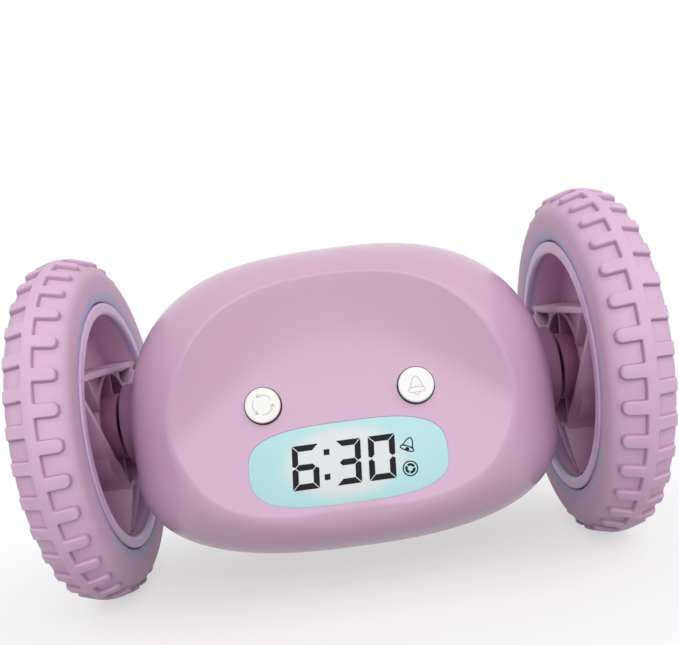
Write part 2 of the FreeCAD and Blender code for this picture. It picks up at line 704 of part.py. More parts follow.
def front_buttons():
    pieces = {}
    for name, x in button_places().items():
        piece = button(BUTTON_R, BUTTON_PROUD, SWITCH_TOP - BUTTON_TRAVEL - PRESS_CLEAR)
        piece.translate(V(x, BUTTON_V, 0))
        pieces[name] = on_face(piece)
    return pieces


def buzzer():
    """Sounder can on the back of the main board, with its sound hole."""
    back = BOARD_BACK + BUZZER_T
    can = face_rod(BUZZER_R, BOARD_BACK, back, 0, BUZZER_V)
    return on_face(can.cut(face_rod(SOUND_HOLE_R, back - BUZZER_T / 2, back + PASS, 0, BUZZER_V)))


def sound_holes():
    """A hole in the middle and a ring of six round it, as (x, z) offsets."""
    turns = [math.radians(60 * i) for i in range(6)]
    return [(0.0, 0.0)] + [(SOUND_PITCH * math.cos(turn), SOUND_PITCH * math.sin(turn)) for turn in turns]


def back_button_places():
    first = -BACK_BUTTON_PITCH * (len(BACK_BUTTONS) - 1) / 2
    return {name: first + i * BACK_BUTTON_PITCH for i, name in enumerate(BACK_BUTTONS)}


def back_post_places():
    return [-BACK_POST_X, BACK_POST_X]


def on_back(shape, x):
    """Place a piece drawn along +Z so that it points out of the back panel."""
    copy = shape.copy()
    copy.rotate(V(0, 0, 0), X_DIR, -90)
    copy.translate(V(x, BACK_PANEL_Y, AXLE_Z + BACK_BUTTON_Z))
    return copy


def back_buttons():
    shape = button(BACK_BUTTON_R, BACK_BUTTON_PROUD, BACK_SWITCH_TOP - BUTTON_TRAVEL - PRESS_CLEAR)
    return {name: on_back(shape, x) for name, x in back_button_places().items()}


def back_switches():
    return Part.makeCompound([on_back(switch(BACK_SWITCH_TOP, BACK_BOARD_FRONT), x)
                              for x in back_button_places().values()])


def back_board():
    board = Part.makeBox(BACK_BOARD_W, BACK_BOARD_H, BOARD_T,
                         V(-BACK_BOARD_W / 2, -BACK_BOARD_H / 2, -BACK_BOARD_BACK))
    holes = [Part.makeCylinder(SCREW_R + FIT_GAP, BOARD_T + 2 * PASS, V(x, 0, -BACK_BOARD_BACK - PASS))
             for x in back_post_places()]
    return on_back(board.cut(Part.makeCompound(holes)), 0)


def board_screws():
    """Screws that hold both boards to their posts."""
    screws = []
    for x, v in post_places():
        screw = screw_along(SCREW_L, SCREW_HEAD_R, SCREW_HEAD_T, SCREW_R)
        screw.rotate(V(0, 0, 0), X_DIR, 180)
        screw.translate(V(x, v, -BOARD_BACK))
        screws.append(on_face(screw))
    for x in back_post_places():
        screw = screw_along(SCREW_L, SCREW_HEAD_R, SCREW_HEAD_T, SCREW_R)
        screw.rotate(V(0, 0, 0), X_DIR, 180)
        screw.translate(V(0, 0, -BACK_BOARD_BACK))
        screws.append(on_back(screw, x))
    return Part.makeCompound(screws)


# ---------------------------------------------------------------- drive train
def pitch_r(teeth):
    return MODULE * teeth / 2


def idler_place():
    """Centre (y, z) of the idler, in mesh with the output gear and the motor pinion."""
    from_axle = pitch_r(OUTPUT_TEETH) + pitch_r(SMALL_TEETH)
    from_motor = pitch_r(IDLER_TEETH) + pitch_r(PINION_TEETH)
    span = math.hypot(MOTOR_Y, MOTOR_Z)
    along = (from_axle ** 2 - from_motor ** 2 + span ** 2) / (2 * span)
    aside = math.sqrt(from_axle ** 2 - along ** 2)
    unit_y, unit_z = MOTOR_Y / span, MOTOR_Z / span
    return unit_y * along - unit_z * aside, unit_z * along + unit_y * aside


IDLER_Y, IDLER_Z = idler_place()
AXLE_TO_IDLER = math.degrees(math.atan2(IDLER_Z, IDLER_Y))
IDLER_TO_MOTOR = math.degrees(math.atan2(MOTOR_Z - IDLER_Z, MOTOR_Y - IDLER_Y))


def gear(teeth, x0, x1, y, z, tooth_at):
    """Spur gear along X with one tooth pointing at an angle in the (y, z) plane."""
    pitch = pitch_r(teeth)
    root = pitch - TOOTH_DEDENDUM * MODULE
    tip = pitch + TOOTH_ADDENDUM * MODULE
    slope = math.tan(math.radians(FLANK_ANGLE))
    half_pitch = (math.pi * MODULE / 2 - BACKLASH) / 2
    half_root = (half_pitch + (pitch - root) * slope) / root
    half_tip = (half_pitch - (tip - pitch) * slope) / tip
    points = []
    for i in range(teeth):
        middle = math.radians(tooth_at) + 2 * math.pi * i / teeth
        for radius, offset in ((root, -half_root), (tip, -half_tip), (tip, half_tip), (root, half_root)):
            turn = middle + offset
            points.append((y + radius * math.cos(turn), AXLE_Z + z + radius * math.sin(turn)))
    return plate(x0, x1, points)


def case_outline(x0, x1, shrink):
    """Cloverleaf of the gear case: round each gear with room for its teeth and a wall."""
    room = TIP_CLEAR + CASE_T - shrink
    return join([rod(pitch_r(OUTPUT_TEETH) + MODULE + room, x0, x1),
                 rod(pitch_r(IDLER_TEETH) + MODULE + room, x0, x1, IDLER_Y, AXLE_Z + IDLER_Z),
                 rod(MOTOR_HALF_T + FIT_GAP - shrink, x0, x1, MOTOR_Y, AXLE_Z + MOTOR_Z)])


def motor():
    """Flat-sided motor can with a bearing nose."""
    can = rod(MOTOR_R, MOTOR_IN, CASE_X, MOTOR_Y, AXLE_Z + MOTOR_Z)
    flats = block(MOTOR_IN - PASS, CASE_X + PASS, MOTOR_Y - 2 * MOTOR_R, MOTOR_Y + 2 * MOTOR_R,
                  AXLE_Z + MOTOR_Z - MOTOR_HALF_T, AXLE_Z + MOTOR_Z + MOTOR_HALF_T)
    bore = rod(MOTOR_SHAFT_R + RUN_FIT, CASE_X - MOTOR_L / 2, CASE_X + PASS, MOTOR_Y, AXLE_Z + MOTOR_Z)
    return can.common(flats).cut(bore)


def motor_pinion():
    """Motor shaft with its pinion."""
    shaft_in = CASE_X - MOTOR_L / 2 + PASS
    shaft = rod(MOTOR_SHAFT_R, shaft_in, IDLER_X + IDLER_W + GEAR_CLEAR, MOTOR_Y, AXLE_Z + MOTOR_Z)
    teeth = gear(PINION_TEETH, CASE_X + CASE_T + PINION_GAP, IDLER_X + IDLER_W + GEAR_CLEAR / 2,
                 MOTOR_Y, MOTOR_Z, IDLER_TO_MOTOR + 180 + 180 / PINION_TEETH)
    return shaft.fuse(teeth)


def idler_gear():
    """Large and small gear in one piece, turning on a fixed pin."""
    large = gear(IDLER_TEETH, IDLER_X, IDLER_X + IDLER_W, IDLER_Y, IDLER_Z, IDLER_TO_MOTOR)
    small = gear(SMALL_TEETH, IDLER_X + IDLER_W, IDLER_X + IDLER_W + STEP_W, IDLER_Y, IDLER_Z,
                 AXLE_TO_IDLER + 180 + 180 / SMALL_TEETH)
    bore = rod(IDLER_PIN_R + RUN_FIT, CASE_X, LID_X + PASS, IDLER_Y, AXLE_Z + IDLER_Z)
    return large.fuse(small).cut(bore)


def idler_pin():
    return rod(IDLER_PIN_R, CASE_X, LID_X + CASE_T, IDLER_Y, AXLE_Z + IDLER_Z)


def output_gear():
    x0 = IDLER_X + IDLER_W + (STEP_W - OUTPUT_W) / 2
    x1 = x0 + OUTPUT_W
    return gear(OUTPUT_TEETH, x0, x1, 0, 0, AXLE_TO_IDLER).cut(rod(AXLE_R, x0 - PASS, x1 + PASS))


def gear_case():
    outer = case_outline(CASE_X, LID_X, 0)
    inner = case_outline(CASE_X + CASE_T, LID_X + PASS, CASE_T)
    holes = [rod(AXLE_R + RUN_FIT, CASE_X - PASS, LID_X),
             rod(IDLER_PIN_R, CASE_X - PASS, LID_X, IDLER_Y, AXLE_Z + IDLER_Z),
             rod(2 * MOTOR_SHAFT_R, CASE_X - PASS, LID_X, MOTOR_Y, AXLE_Z + MOTOR_Z)]
    return outer.cut(inner).cut(Part.makeCompound(holes))


def gear_case_lid():
    holes = [rod(AXLE_R + FIT_GAP, LID_X - PASS, LID_X + CASE_T + PASS),
             rod(IDLER_PIN_R, LID_X - PASS, LID_X + CASE_T + PASS, IDLER_Y, AXLE_Z + IDLER_Z)]
    return case_outline(LID_X, LID_X + CASE_T, 0).cut(Part.makeCompound(holes))


def axle_bush():
    """Flanged bearing bush, pressed into the boss from inside."""
    outer = join([rod(BUSH_R, BOSS_OUT - BUSH_L - BUSH_FLANGE_T, BOSS_OUT),
                  rod(BUSH_FLANGE_R, BOSS_OUT - BUSH_L - BUSH_FLANGE_T, BOSS_OUT - BUSH_L)])
    return outer.cut(rod(AXLE_R + RUN_FIT, BOSS_OUT - 2 * BUSH_L, BOSS_OUT + PASS))


def axle():
    """Wheel axle, tapped at its outer end for the wheel screw."""
    return rod(AXLE_R, CASE_X, DISC_IN).cut(rod(WHEEL_SCREW_R, DISC_OUT - WHEEL_SCREW_L, DISC_IN + PASS))


# ---------------------------------------------------------------- wheel
def ring_edges(shape, x, radius):
    """Circular edges about the axle at one station and radius."""
    found = []
    for edge in shape.Edges:
        box = edge.BoundBox
        if abs(box.XMin - x) + abs(box.XMax - x) + abs(box.ZLength - 2 * radius) < 10 * TINY:
            found.append(edge)
    return found


def crown_r(x, top):
    """Radius at one station under the crowned tread; top is the radius at the middle band."""
    return top - CROWN_R + math.sqrt(CROWN_R ** 2 - (x - CROWN_X) ** 2)


def crowned(x0, x1, inner, top):
    """Ring about the axle whose outside is crowned, between two stations."""
    start, middle, end = [V(x, 0, AXLE_Z + crown_r(x, top)) for x in (x0, (x0 + x1) / 2, x1)]
    corners = [end, V(x1, 0, AXLE_Z + inner), V(x0, 0, AXLE_Z + inner), start]
    sides = [Part.makeLine(a, b) for a, b in zip(corners, corners[1:])]
    outline = Part.Wire([Part.Arc(start, middle, end).toShape()] + sides)
    return Part.Face(outline).revolve(V(0, 0, AXLE_Z), X_DIR, 360)


def tyre_carcass():
    """Hollow tyre body up to the floor of the tread."""
    seat_in = TYRE_IN + FLANGE_T + FIT_GAP
    seat_out = DISC_OUT - FLANGE_T - FIT_GAP
    seat_r = BARREL_R + FIT_GAP
    solid = crowned(TYRE_IN, WHEELS_OUT, seat_r, FLOOR_R)
    solid = solid.cut(rod(BEAD_R, TYRE_IN - PASS, seat_in)).cut(rod(BEAD_R, seat_out, WHEELS_OUT + PASS))
    solid = solid.makeFillet(SHOULDER_IN, ring_edges(solid, TYRE_IN, crown_r(TYRE_IN, FLOOR_R)))
    solid = solid.makeFillet(SHOULDER_OUT, ring_edges(solid, WHEELS_OUT, crown_r(WHEELS_OUT, FLOOR_R)))
    solid = solid.makeFillet(BEAD_ROUND, ring_edges(solid, TYRE_IN, BEAD_R))
    solid = solid.makeFillet(BEAD_ROUND, ring_edges(solid, WHEELS_OUT, BEAD_R))
    air = tube(FLOOR_R - TYRE_WALL, seat_r - PASS, TYRE_IN + TYRE_WALL, WHEELS_OUT - TYRE_WALL)
    return solid.cut(air)


def lug_row(x0, x1, tip_x, first):
    """One row of tread lugs; the corners at the free end tip_x are rounded when it is given."""
    width = LUG_SHARE * 2 * math.pi * TYRE_R / LUGS
    root = min(crown_r(x0, FLOOR_R), crown_r(x1, FLOOR_R)) - LUG_ROOT
    lug = block(x0, x1, -width / 2, width / 2, AXLE_Z + root, AXLE_Z + TYRE_R + PASS)
    if tip_x is not None:
        corners = [e for e in lug.Edges if e.BoundBox.ZLength > TINY and abs(e.BoundBox.XMax - tip_x) < TINY
                   and e.BoundBox.YLength < TINY]
        lug = lug.makeFillet(LUG_TIP_ROUND * width, corners)
    lug = lug.common(crowned(x0 - PASS, x1 + PASS, root - PASS, TYRE_R))
    return [turned(lug, first + 360 * i / LUGS) for i in range(LUGS)]


def tyre():
    band_in, band_out = TYRE_IN + BAND_IN, TYRE_IN + BAND_IN + BAND_W
    band = crowned(band_in, band_out, FLOOR_R - LUG_ROOT, TYRE_R)
    inner_row = lug_row(TYRE_IN + LUG_IN, band_in + LUG_JOIN, TYRE_IN + LUG_IN, 0)
    outer_row = lug_row(band_out - LUG_JOIN, WHEELS_OUT - OUTER_ROW_END, None, 180 / LUGS)
    return tyre_carcass().multiFuse([band] + inner_row + outer_row)


def rim():
    """Barrel with two flanges, closed by a disc on the outboard side."""
    solid = revolve_x([(TYRE_IN, RIM_BORE_R), (TYRE_IN, RIM_FLANGE_R), (TYRE_IN + FLANGE_T, RIM_FLANGE_R),
                       (TYRE_IN + FLANGE_T, BARREL_R), (DISC_OUT - FLANGE_T, BARREL_R),
                       (DISC_OUT - FLANGE_T, RIM_FLANGE_R), (DISC_OUT, RIM_FLANGE_R),
                       (DISC_OUT, WHEEL_SCREW_R), (DISC_IN, WHEEL_SCREW_R), (DISC_IN, RIM_BORE_R)])
    solid = solid.makeFillet(FLANGE_ROUND, ring_edges(solid, TYRE_IN, RIM_BORE_R)
                             + ring_edges(solid, TYRE_IN, RIM_FLANGE_R))
    raised = tube(RIM_BORE_R - DISH_RING, CAP_R + DISH_RING, DISC_OUT - DISH_T, DISC_OUT + PASS)
    return solid.cut(raised)


def spoke_ribs():
    """Two ribs from the carrier's foot down to the rim, their inboard edges sloping away."""
    ribs = [wall_between(TYRE_IN, DISC_IN, (way * STRUT_FOOT_Y, AXLE_Z - CARRIER_FOOT + RIB_ROOT),
                         (way * SPOKE_HALF_GAP, AXLE_Z - RIM_BORE_R), RIB_T) for way in (-1, 1)]
    top, low = AXLE_Z - CARRIER_FOOT, AXLE_Z - RIM_BORE_R - PASS
    outline = [(TYRE_IN - PASS, top), (TYRE_IN, top), (TYRE_IN + SPOKE_SLOPE, low), (TYRE_IN - PASS, low)]
    corners = [V(x, -TYRE_R, z) for x, z in outline]
    slope = Part.Face(Part.makePolygon(corners + corners[:1])).extrude(V(0, 2 * TYRE_R, 0))
    return [rib.cut(slope) for rib in ribs]


def gusset(way):
    """Short wall from the plate's end to the arch; its inboard edge recedes on the way."""
    top_y, foot_y = way * GUSSET_TOP_Y, way * GUSSET_FOOT[0]
    wall = wall_between(TYRE_IN, DISC_IN, (top_y, AXLE_Z + CARRIER_TOP - PLATE_T / 2),
                        (foot_y, AXLE_Z + GUSSET_FOOT[1]), PLATE_T)
    outline = [(TYRE_IN - PASS, top_y + way * PASS), (TYRE_IN + STRUT_SETBACK, top_y + way * PASS),
               (TYRE_IN + GUSSET_SETBACK, foot_y), (TYRE_IN + GUSSET_SETBACK, foot_y - way * PASS),
               (TYRE_IN - PASS, foot_y - way * PASS)]
    corners = [V(x, y, AXLE_Z) for x, y in outline]
    return wall.cut(Part.Face(Part.makePolygon(corners + corners[:1])).extrude(V(0, 0, TYRE_R)))


def hub_carrier():
    """Shield-shaped carrier in the rim: plate, struts, arch and hub."""
    foot_z = AXLE_Z - CARRIER_FOOT + PLATE_T / 2
    plate_z = AXLE_Z + CARRIER_TOP
    pieces = [block(TYRE_IN, DISC_IN, -RIM_BORE_R, RIM_BORE_R, plate_z - PLATE_T, plate_z),
              block(TYRE_IN + FOOT_SETBACK, DISC_IN, -STRUT_FOOT_Y, STRUT_FOOT_Y,
                    AXLE_Z - CARRIER_FOOT, AXLE_Z - CARRIER_FOOT + PLATE_T),
              tube(ARCH_R + ARCH_T, ARCH_R, TYRE_IN + ARCH_SETBACK, DISC_IN)]
    for way in (-1, 1):
        rim_end = (way * RIM_BORE_R, AXLE_Z + STRUT_RIM_Z + STRUT_RUN)
        foot = (way * STRUT_FOOT_Y, foot_z)
        pieces.append(wall_between(TYRE_IN + STRUT_SETBACK, DISC_IN, rim_end, foot, PLATE_T))
        pieces.append(gusset(way))
    web_outline = [(-GUSSET_TOP_Y, plate_z - PLATE_T / 2), (GUSSET_TOP_Y, plate_z - PLATE_T / 2),
                   (GUSSET_FOOT[0], AXLE_Z + GUSSET_FOOT[1]), (STRUT_FOOT_Y, foot_z),
                   (-STRUT_FOOT_Y, foot_z), (-GUSSET_FOOT[0], AXLE_Z + GUSSET_FOOT[1])]
    web = plate(TYRE_IN + WEB_SETBACK, TYRE_IN + WEB_SETBACK + WEB_T, web_outline)
    slot = block(TYRE_IN, DISC_IN, SLOT_Y[0], SLOT_Y[1], AXLE_Z + SLOT_Z[0], AXLE_Z + SLOT_Z[1])
    pieces.append(web.cut(slot).cut(rod(ARCH_R, TYRE_IN, DISC_IN)))
    for low, high in ((HUB_R - RIB_ROOT, ARCH_R + ARCH_T / 2), (-ARCH_R - ARCH_T / 2, RIB_ROOT - HUB_R)):
        pieces.append(block(TYRE_IN + ARCH_SETBACK, DISC_IN, -RIB_T / 2, RIB_T / 2,
                            AXLE_Z + low, AXLE_Z + high))
    tab_y = -ARCH_R - ARCH_T / 2
    pieces.append(block(TYRE_IN + ARCH_SETBACK + TAB_DROP, TYRE_IN + ARCH_SETBACK + TAB_DROP + TAB_LONG,
                        tab_y, tab_y + TAB[0], AXLE_Z - TAB[1] / 2, AXLE_Z + TAB[1] / 2))
    pieces += spoke_ribs()
    pieces.append(rod(HUB_R, TYRE_IN - HUB_PROUD, DISC_IN))
    solid = pieces[0].multiFuse(pieces[1:]).common(rod(RIM_BORE_R - FIT_GAP, TYRE_IN - PASS, DISC_IN))
    cuts = [block(TYRE_IN - PASS, TYRE_IN + PLATE_STEP, PLATE_STEP_Y, RIM_BORE_R,
                  plate_z - 2 * PLATE_T, plate_z + PASS),
            rod(HUB_BORE_R, TYRE_IN - PASS, TYRE_IN - HUB_PROUD + HUB_BORE_DEPTH),
            rod(AXLE_R, TYRE_IN, DISC_IN + PASS)]
    for cut in cuts:
        solid = solid.cut(cut)
    return solid


def wheel_screw():
    head = rod(WHEEL_SCREW_HEAD_R, DISC_OUT, DISC_OUT + WHEEL_SCREW_HEAD_T)
    return head.fuse(rod(WHEEL_SCREW_R, DISC_OUT - WHEEL_SCREW_L, DISC_OUT))


def hub_cap():
    """Round cap over the wheel screw."""
    cap = rod(CAP_R, DISC_OUT, DISC_OUT + CAP_T)
    cap = cap.makeFillet(CAP_EDGE_R, ring_edges(cap, DISC_OUT + CAP_T, CAP_R))
    head_room = rod(WHEEL_SCREW_HEAD_R + FIT_GAP, DISC_OUT - PASS, DISC_OUT + WHEEL_SCREW_HEAD_T + FIT_GAP)
    return cap.cut(head_room)


# ---------------------------------------------------------------- all nodes
NODES = {
    "front_shell": front_shell(),
    "rear_shell": rear_shell(),
    "shell_screws": shell_screws(),
    "display_window": display_window(),
    "lcd_panel": lcd_panel(),
    "lcd_backlight": lcd_backlight(),
    "lcd_frame": lcd_frame(),
    "main_board": main_board(),
    "front_switches": front_switches(),
    "buzzer": buzzer(),
    "back_board": back_board(),
    "back_switches": back_switches(),
    "board_screws": board_screws(),
    "battery_tray": battery_tray(),
    "batteries": batteries(),
    "battery_contacts": battery_contacts(),
    "battery_door": battery_door(),
}
NODES.update(front_buttons())
NODES.update(back_buttons())

SIDE_PIECES = {
    "motor": motor(),
    "motor_pinion": motor_pinion(),
    "idler_gear": idler_gear(),
    "idler_pin": idler_pin(),
    "gear_case": gear_case(),
    "gear_case_lid": gear_case_lid(),
    "axle_bush": axle_bush(),
    "axle": axle(),
    "output_gear": output_gear(),
    "hub_carrier": hub_carrier(),
    "rim": rim(),
    "tyre": tyre(),
    "wheel_screw": wheel_screw(),
    "hub_cap": hub_cap(),
}
for side_name, side in SIDES.items():
    for piece_name, piece in SIDE_PIECES.items():
        placed = on_side(piece, side)
        if piece_name == "tyre":
            placed = turned(placed, TYRE_TURN[side_name])
        NODES[piece_name + "_" + side_name] = placed

os.makedirs("parts", exist_ok=True)
for name, shape in NODES.items():
    shape.exportStep(os.path.join("parts", name + ".step"))
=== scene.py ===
"""Looks of the runaway alarm clock: smooth shells, soft tyres, display, finishes, light and camera.

Lengths are millimetres in the CAD frame and become metres when a mesh is made. Those of the floor and
the lamps are metres.
"""
import json
from math import atan2, cos, exp, hypot, log1p, pi, radians, sin, sqrt, tan
import bpy
import bmesh
from mathutils import Matrix, Vector
from mathutils.geometry import delaunay_2d_cdt

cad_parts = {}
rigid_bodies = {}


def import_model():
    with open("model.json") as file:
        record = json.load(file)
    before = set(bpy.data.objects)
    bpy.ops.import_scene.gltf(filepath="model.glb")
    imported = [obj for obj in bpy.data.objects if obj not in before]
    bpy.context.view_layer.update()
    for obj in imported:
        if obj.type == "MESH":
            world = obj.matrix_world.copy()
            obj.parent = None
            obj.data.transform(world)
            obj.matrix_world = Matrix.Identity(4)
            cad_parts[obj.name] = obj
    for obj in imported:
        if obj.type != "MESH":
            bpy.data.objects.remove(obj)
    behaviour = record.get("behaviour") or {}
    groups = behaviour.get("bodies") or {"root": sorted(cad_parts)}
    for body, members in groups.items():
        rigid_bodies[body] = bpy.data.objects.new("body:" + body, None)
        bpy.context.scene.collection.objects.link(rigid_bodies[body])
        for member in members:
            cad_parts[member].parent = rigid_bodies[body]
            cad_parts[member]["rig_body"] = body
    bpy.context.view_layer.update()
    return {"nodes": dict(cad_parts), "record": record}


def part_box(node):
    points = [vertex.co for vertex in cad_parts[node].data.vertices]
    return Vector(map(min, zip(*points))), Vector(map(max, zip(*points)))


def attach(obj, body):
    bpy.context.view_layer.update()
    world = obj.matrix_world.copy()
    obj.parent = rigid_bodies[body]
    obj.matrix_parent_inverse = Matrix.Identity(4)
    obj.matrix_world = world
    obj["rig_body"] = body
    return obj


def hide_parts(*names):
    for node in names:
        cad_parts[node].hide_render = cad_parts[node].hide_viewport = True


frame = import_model()

MM = 0.001
SIDES = {"left": -1, "right": 1}


def span(node):
    """Lowest and highest corner of a CAD node, in millimetres."""
    low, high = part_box(node)
    return low / MM, high / MM


TYRE_LOW, TYRE_HIGH = span("tyre_right")
TYRE_R = (TYRE_HIGH.z - TYRE_LOW.z) / 2
AXLE_Z = TYRE_LOW.z + TYRE_R
TYRE_IN, TYRE_OUT = TYRE_LOW.x, TYRE_HIGH.x
TYRE_W = TYRE_OUT - TYRE_IN

# ---- body form, as the shells have it
BODY_HALF_W = 52.6
BODY_UP = 48.7
BODY_DOWN = 24.5
WIDEST_Z = -11.0
WIDEST_Y = -8.0
FRONT_REACH = 33.8
BACK_REACH = 46.0
PLAN_POWER = 2.4
UPPER_POWER = 2.77
LOWER_POWER = 2.56
WALL = 2.0
SEAM_Y = 20.0
BACK_PANEL_Y = span("rear_shell")[1].y
TOE_Y = -38.5
TOE_Z = -21.0
FACE_TILT = radians(17.0)
BROW_LEAN = radians(0.5)
BEND_Z = 13.5
BEND_ARCH = 0.0054
BEND_SOFT = 5.0
BROW_CURL = -0.0023
BODY_Z = AXLE_Z + WIDEST_Z

# finish of the body's edges
BROW_ROUND = 0.7          # crisp edge along the top of the face
CHIN_ROUND = 3.2          # soft edge along its bottom
SEAM_ROUND = 0.25
PANEL_ROUND = 1.6
INNER_ROUND = 0.5         # edges of the wall's inner side
TURNS = 256               # points round the body
FACE_STEPS = 56
EDGE_STEPS = 10
SKIN_STEPS = 56
REAR_STEPS = 18           # points across the back panel, and as many along the rear skin
PANEL_EDGE_STEPS = 6

# face fittings, in face coordinates: x across, v up along the face from its toe
WINDOW_W, WINDOW_H, WINDOW_V, WINDOW_POWER = 44.5, 18.2, 11.0, 3.1
WINDOW_RECESS = 0.02
WINDOW_TURNS = 96         # points round the display
BUTTON_X, BUTTON_V, BUTTON_R, BUTTON_PROUD = 17.25, 25.9, 4.0, 1.7
BUTTON_ROUND = 0.28
BUTTON_TURNS = 96         # points round a front button
SHADE_SKIRT_T, SHADE_SKIRT_DROP = 0.3, 0.85   # thickness of a cap's dark skirt, painted shade round the cap, and its drop below the cap's top
SHADE_SEAL_GAP, SHADE_SEAL_SUNK = 0.1, 0.04   # a dark seal's distance from the cap and depth in its hole; the seal is painted shade in the hole's gap
FLANGE_W, FLANGE_T = 0.7, 0.8     # foot of a button, behind the wall
HOLE_GAP = 0.3
ICON_LINE = 0.17          # width of the lines on the button caps
ICON_SUNK, ICON_TOP = 0.05, 0.02
ICON_HOW = (ICON_LINE, BUTTON_PROUD - ICON_SUNK, BUTTON_PROUD + ICON_TOP)

# back fittings; z is relative to the axle
BACK_BUTTON_Z, BACK_BUTTON_R, BACK_BUTTON_ROUND = -2.0, 2.6, 0.5
BACK_BUTTONS = {"hour_button": -13.5, "minute_button": -4.5, "clock_button": 4.5, "alarm_set_button": 13.5}
SOUND_Z, SOUND_PITCH, SOUND_R = -13.0, 3.4, 0.8
COLUMNS = ((25.0, 21.0), (31.0, -20.0))
COLUMN_HEAD_R = 2.25
WELL_FLOOR_Y, WELL_BASE_Y = SEAM_Y + 4.0, SEAM_Y + 3.2
WELL_WALL = 0.7
WELL_SUNK = 0.5           # a screw well's open end below the skin
BOSS_R, BUSH_R = 10.8, 4.0
BOSS_OUT = span("axle_bush_right")[1].x
BOSS_ROOT = 46.0          # inner end of a boss, inside the body
DOOR_GAP, DOOR_ROUND = 0.25, 3.0
DOOR_CUT = (-3.0, 5.0)    # levels between which the door's opening is cut, from the shell's lowest

# rims
RIM_FLANGE_R, RIM_FLANGE_T, RIM_BORE_R, BARREL_R = 32.4, 1.2, 29.3, 30.8
LIP_REFLECTION_W = 1.7               # how far the painted bluish reflection on the lip reaches into the barrel
DISC_OUT, DISC_IN = TYRE_OUT - 2.0, TYRE_OUT - 3.4
DISC_STEP_W, DISC_STEP = 2.6, 0.5  # raised rings of the disc: width and height
SCREW_HOLE_R = 1.2
CAP_R, CAP_T = 12.0, 1.6
POCKET_R, POCKET = 3.45, 1.25      # room in the cap for the wheel screw's head

# ---- colours, as sRGB hex
SHELL = "D6AFCA"
TYRE = "E2BEDA"
# painted shade along the tyre's grooves
GROOVE_SHADE = "B188A8"
# painted bluish reflection on the tyre beside the rim
BEAD_REFLECTION = "C8C0E2"
CARRIER = "DAB5D0"
# painted shade darkening the carrier towards the hub
HUB_SHADE = "9A5F88"
# darker copy of the shell's plastic on the axle bosses: painted shade
BOSS_SHADE = "946C89"
FLANGE = "DFC0E4"
BARREL = "E3C2DB"
# painted bluish reflection on the rim's lip
LIP_REFLECTION = "C3B4DA"
AQUA = "AFDDDE"
GLOW = "DADEE0"
INK = "141516"
WHITE = "F4F3F1"

# where one tint turns into the next: radii about the axle, or distances along it
BEAD_REFLECTION_EDGE = (34.7, 35.6)  # painted bluish reflection by the bead, then plain tyre
HUB_SHADE_EDGE = (10.5, 19.0)   # painted shade in deep mauve at the hub, then pale web
FLANGE_EDGE = (RIM_BORE_R + 0.05, RIM_BORE_R + 0.9)  # barrel, then flange
LIP_REFLECTION_EDGE = (TYRE_IN + LIP_REFLECTION_W, TYRE_IN + LIP_REFLECTION_W + 0.6)  # painted bluish reflection on the lip, then barrel, along the axle
GLOW_CENTRE = (-0.9, 11.1)  # across and up along the face
GLOW_HALF = (15.4, 8.8)
GLOW_EDGE = (0.66, 1.0)   # shares of the glow's half sizes


def linear(hex_colour):
    """Linear RGBA of an sRGB hex colour."""
    values = [int(hex_colour[i:i + 2], 16) / 255 for i in (0, 2, 4)]
    return [v / 12.92 if v <= 0.04045 else ((v + 0.055) / 1.055) ** 2.4 for v in values] + [1.0]


def shade(hex_colour, factor):
    """The colour made lighter or darker in linear light."""
    return [min(1.0, v * factor) for v in linear(hex_colour)[:3]] + [1.0]


def face_point(x, v, out):
    """Point in face coordinates, in millimetres."""
    sine, cosine = sin(FACE_TILT), cos(FACE_TILT)
    return Vector((x, TOE_Y + v * sine - out * cosine, AXLE_Z + TOE_Z + v * cosine + out * sine))


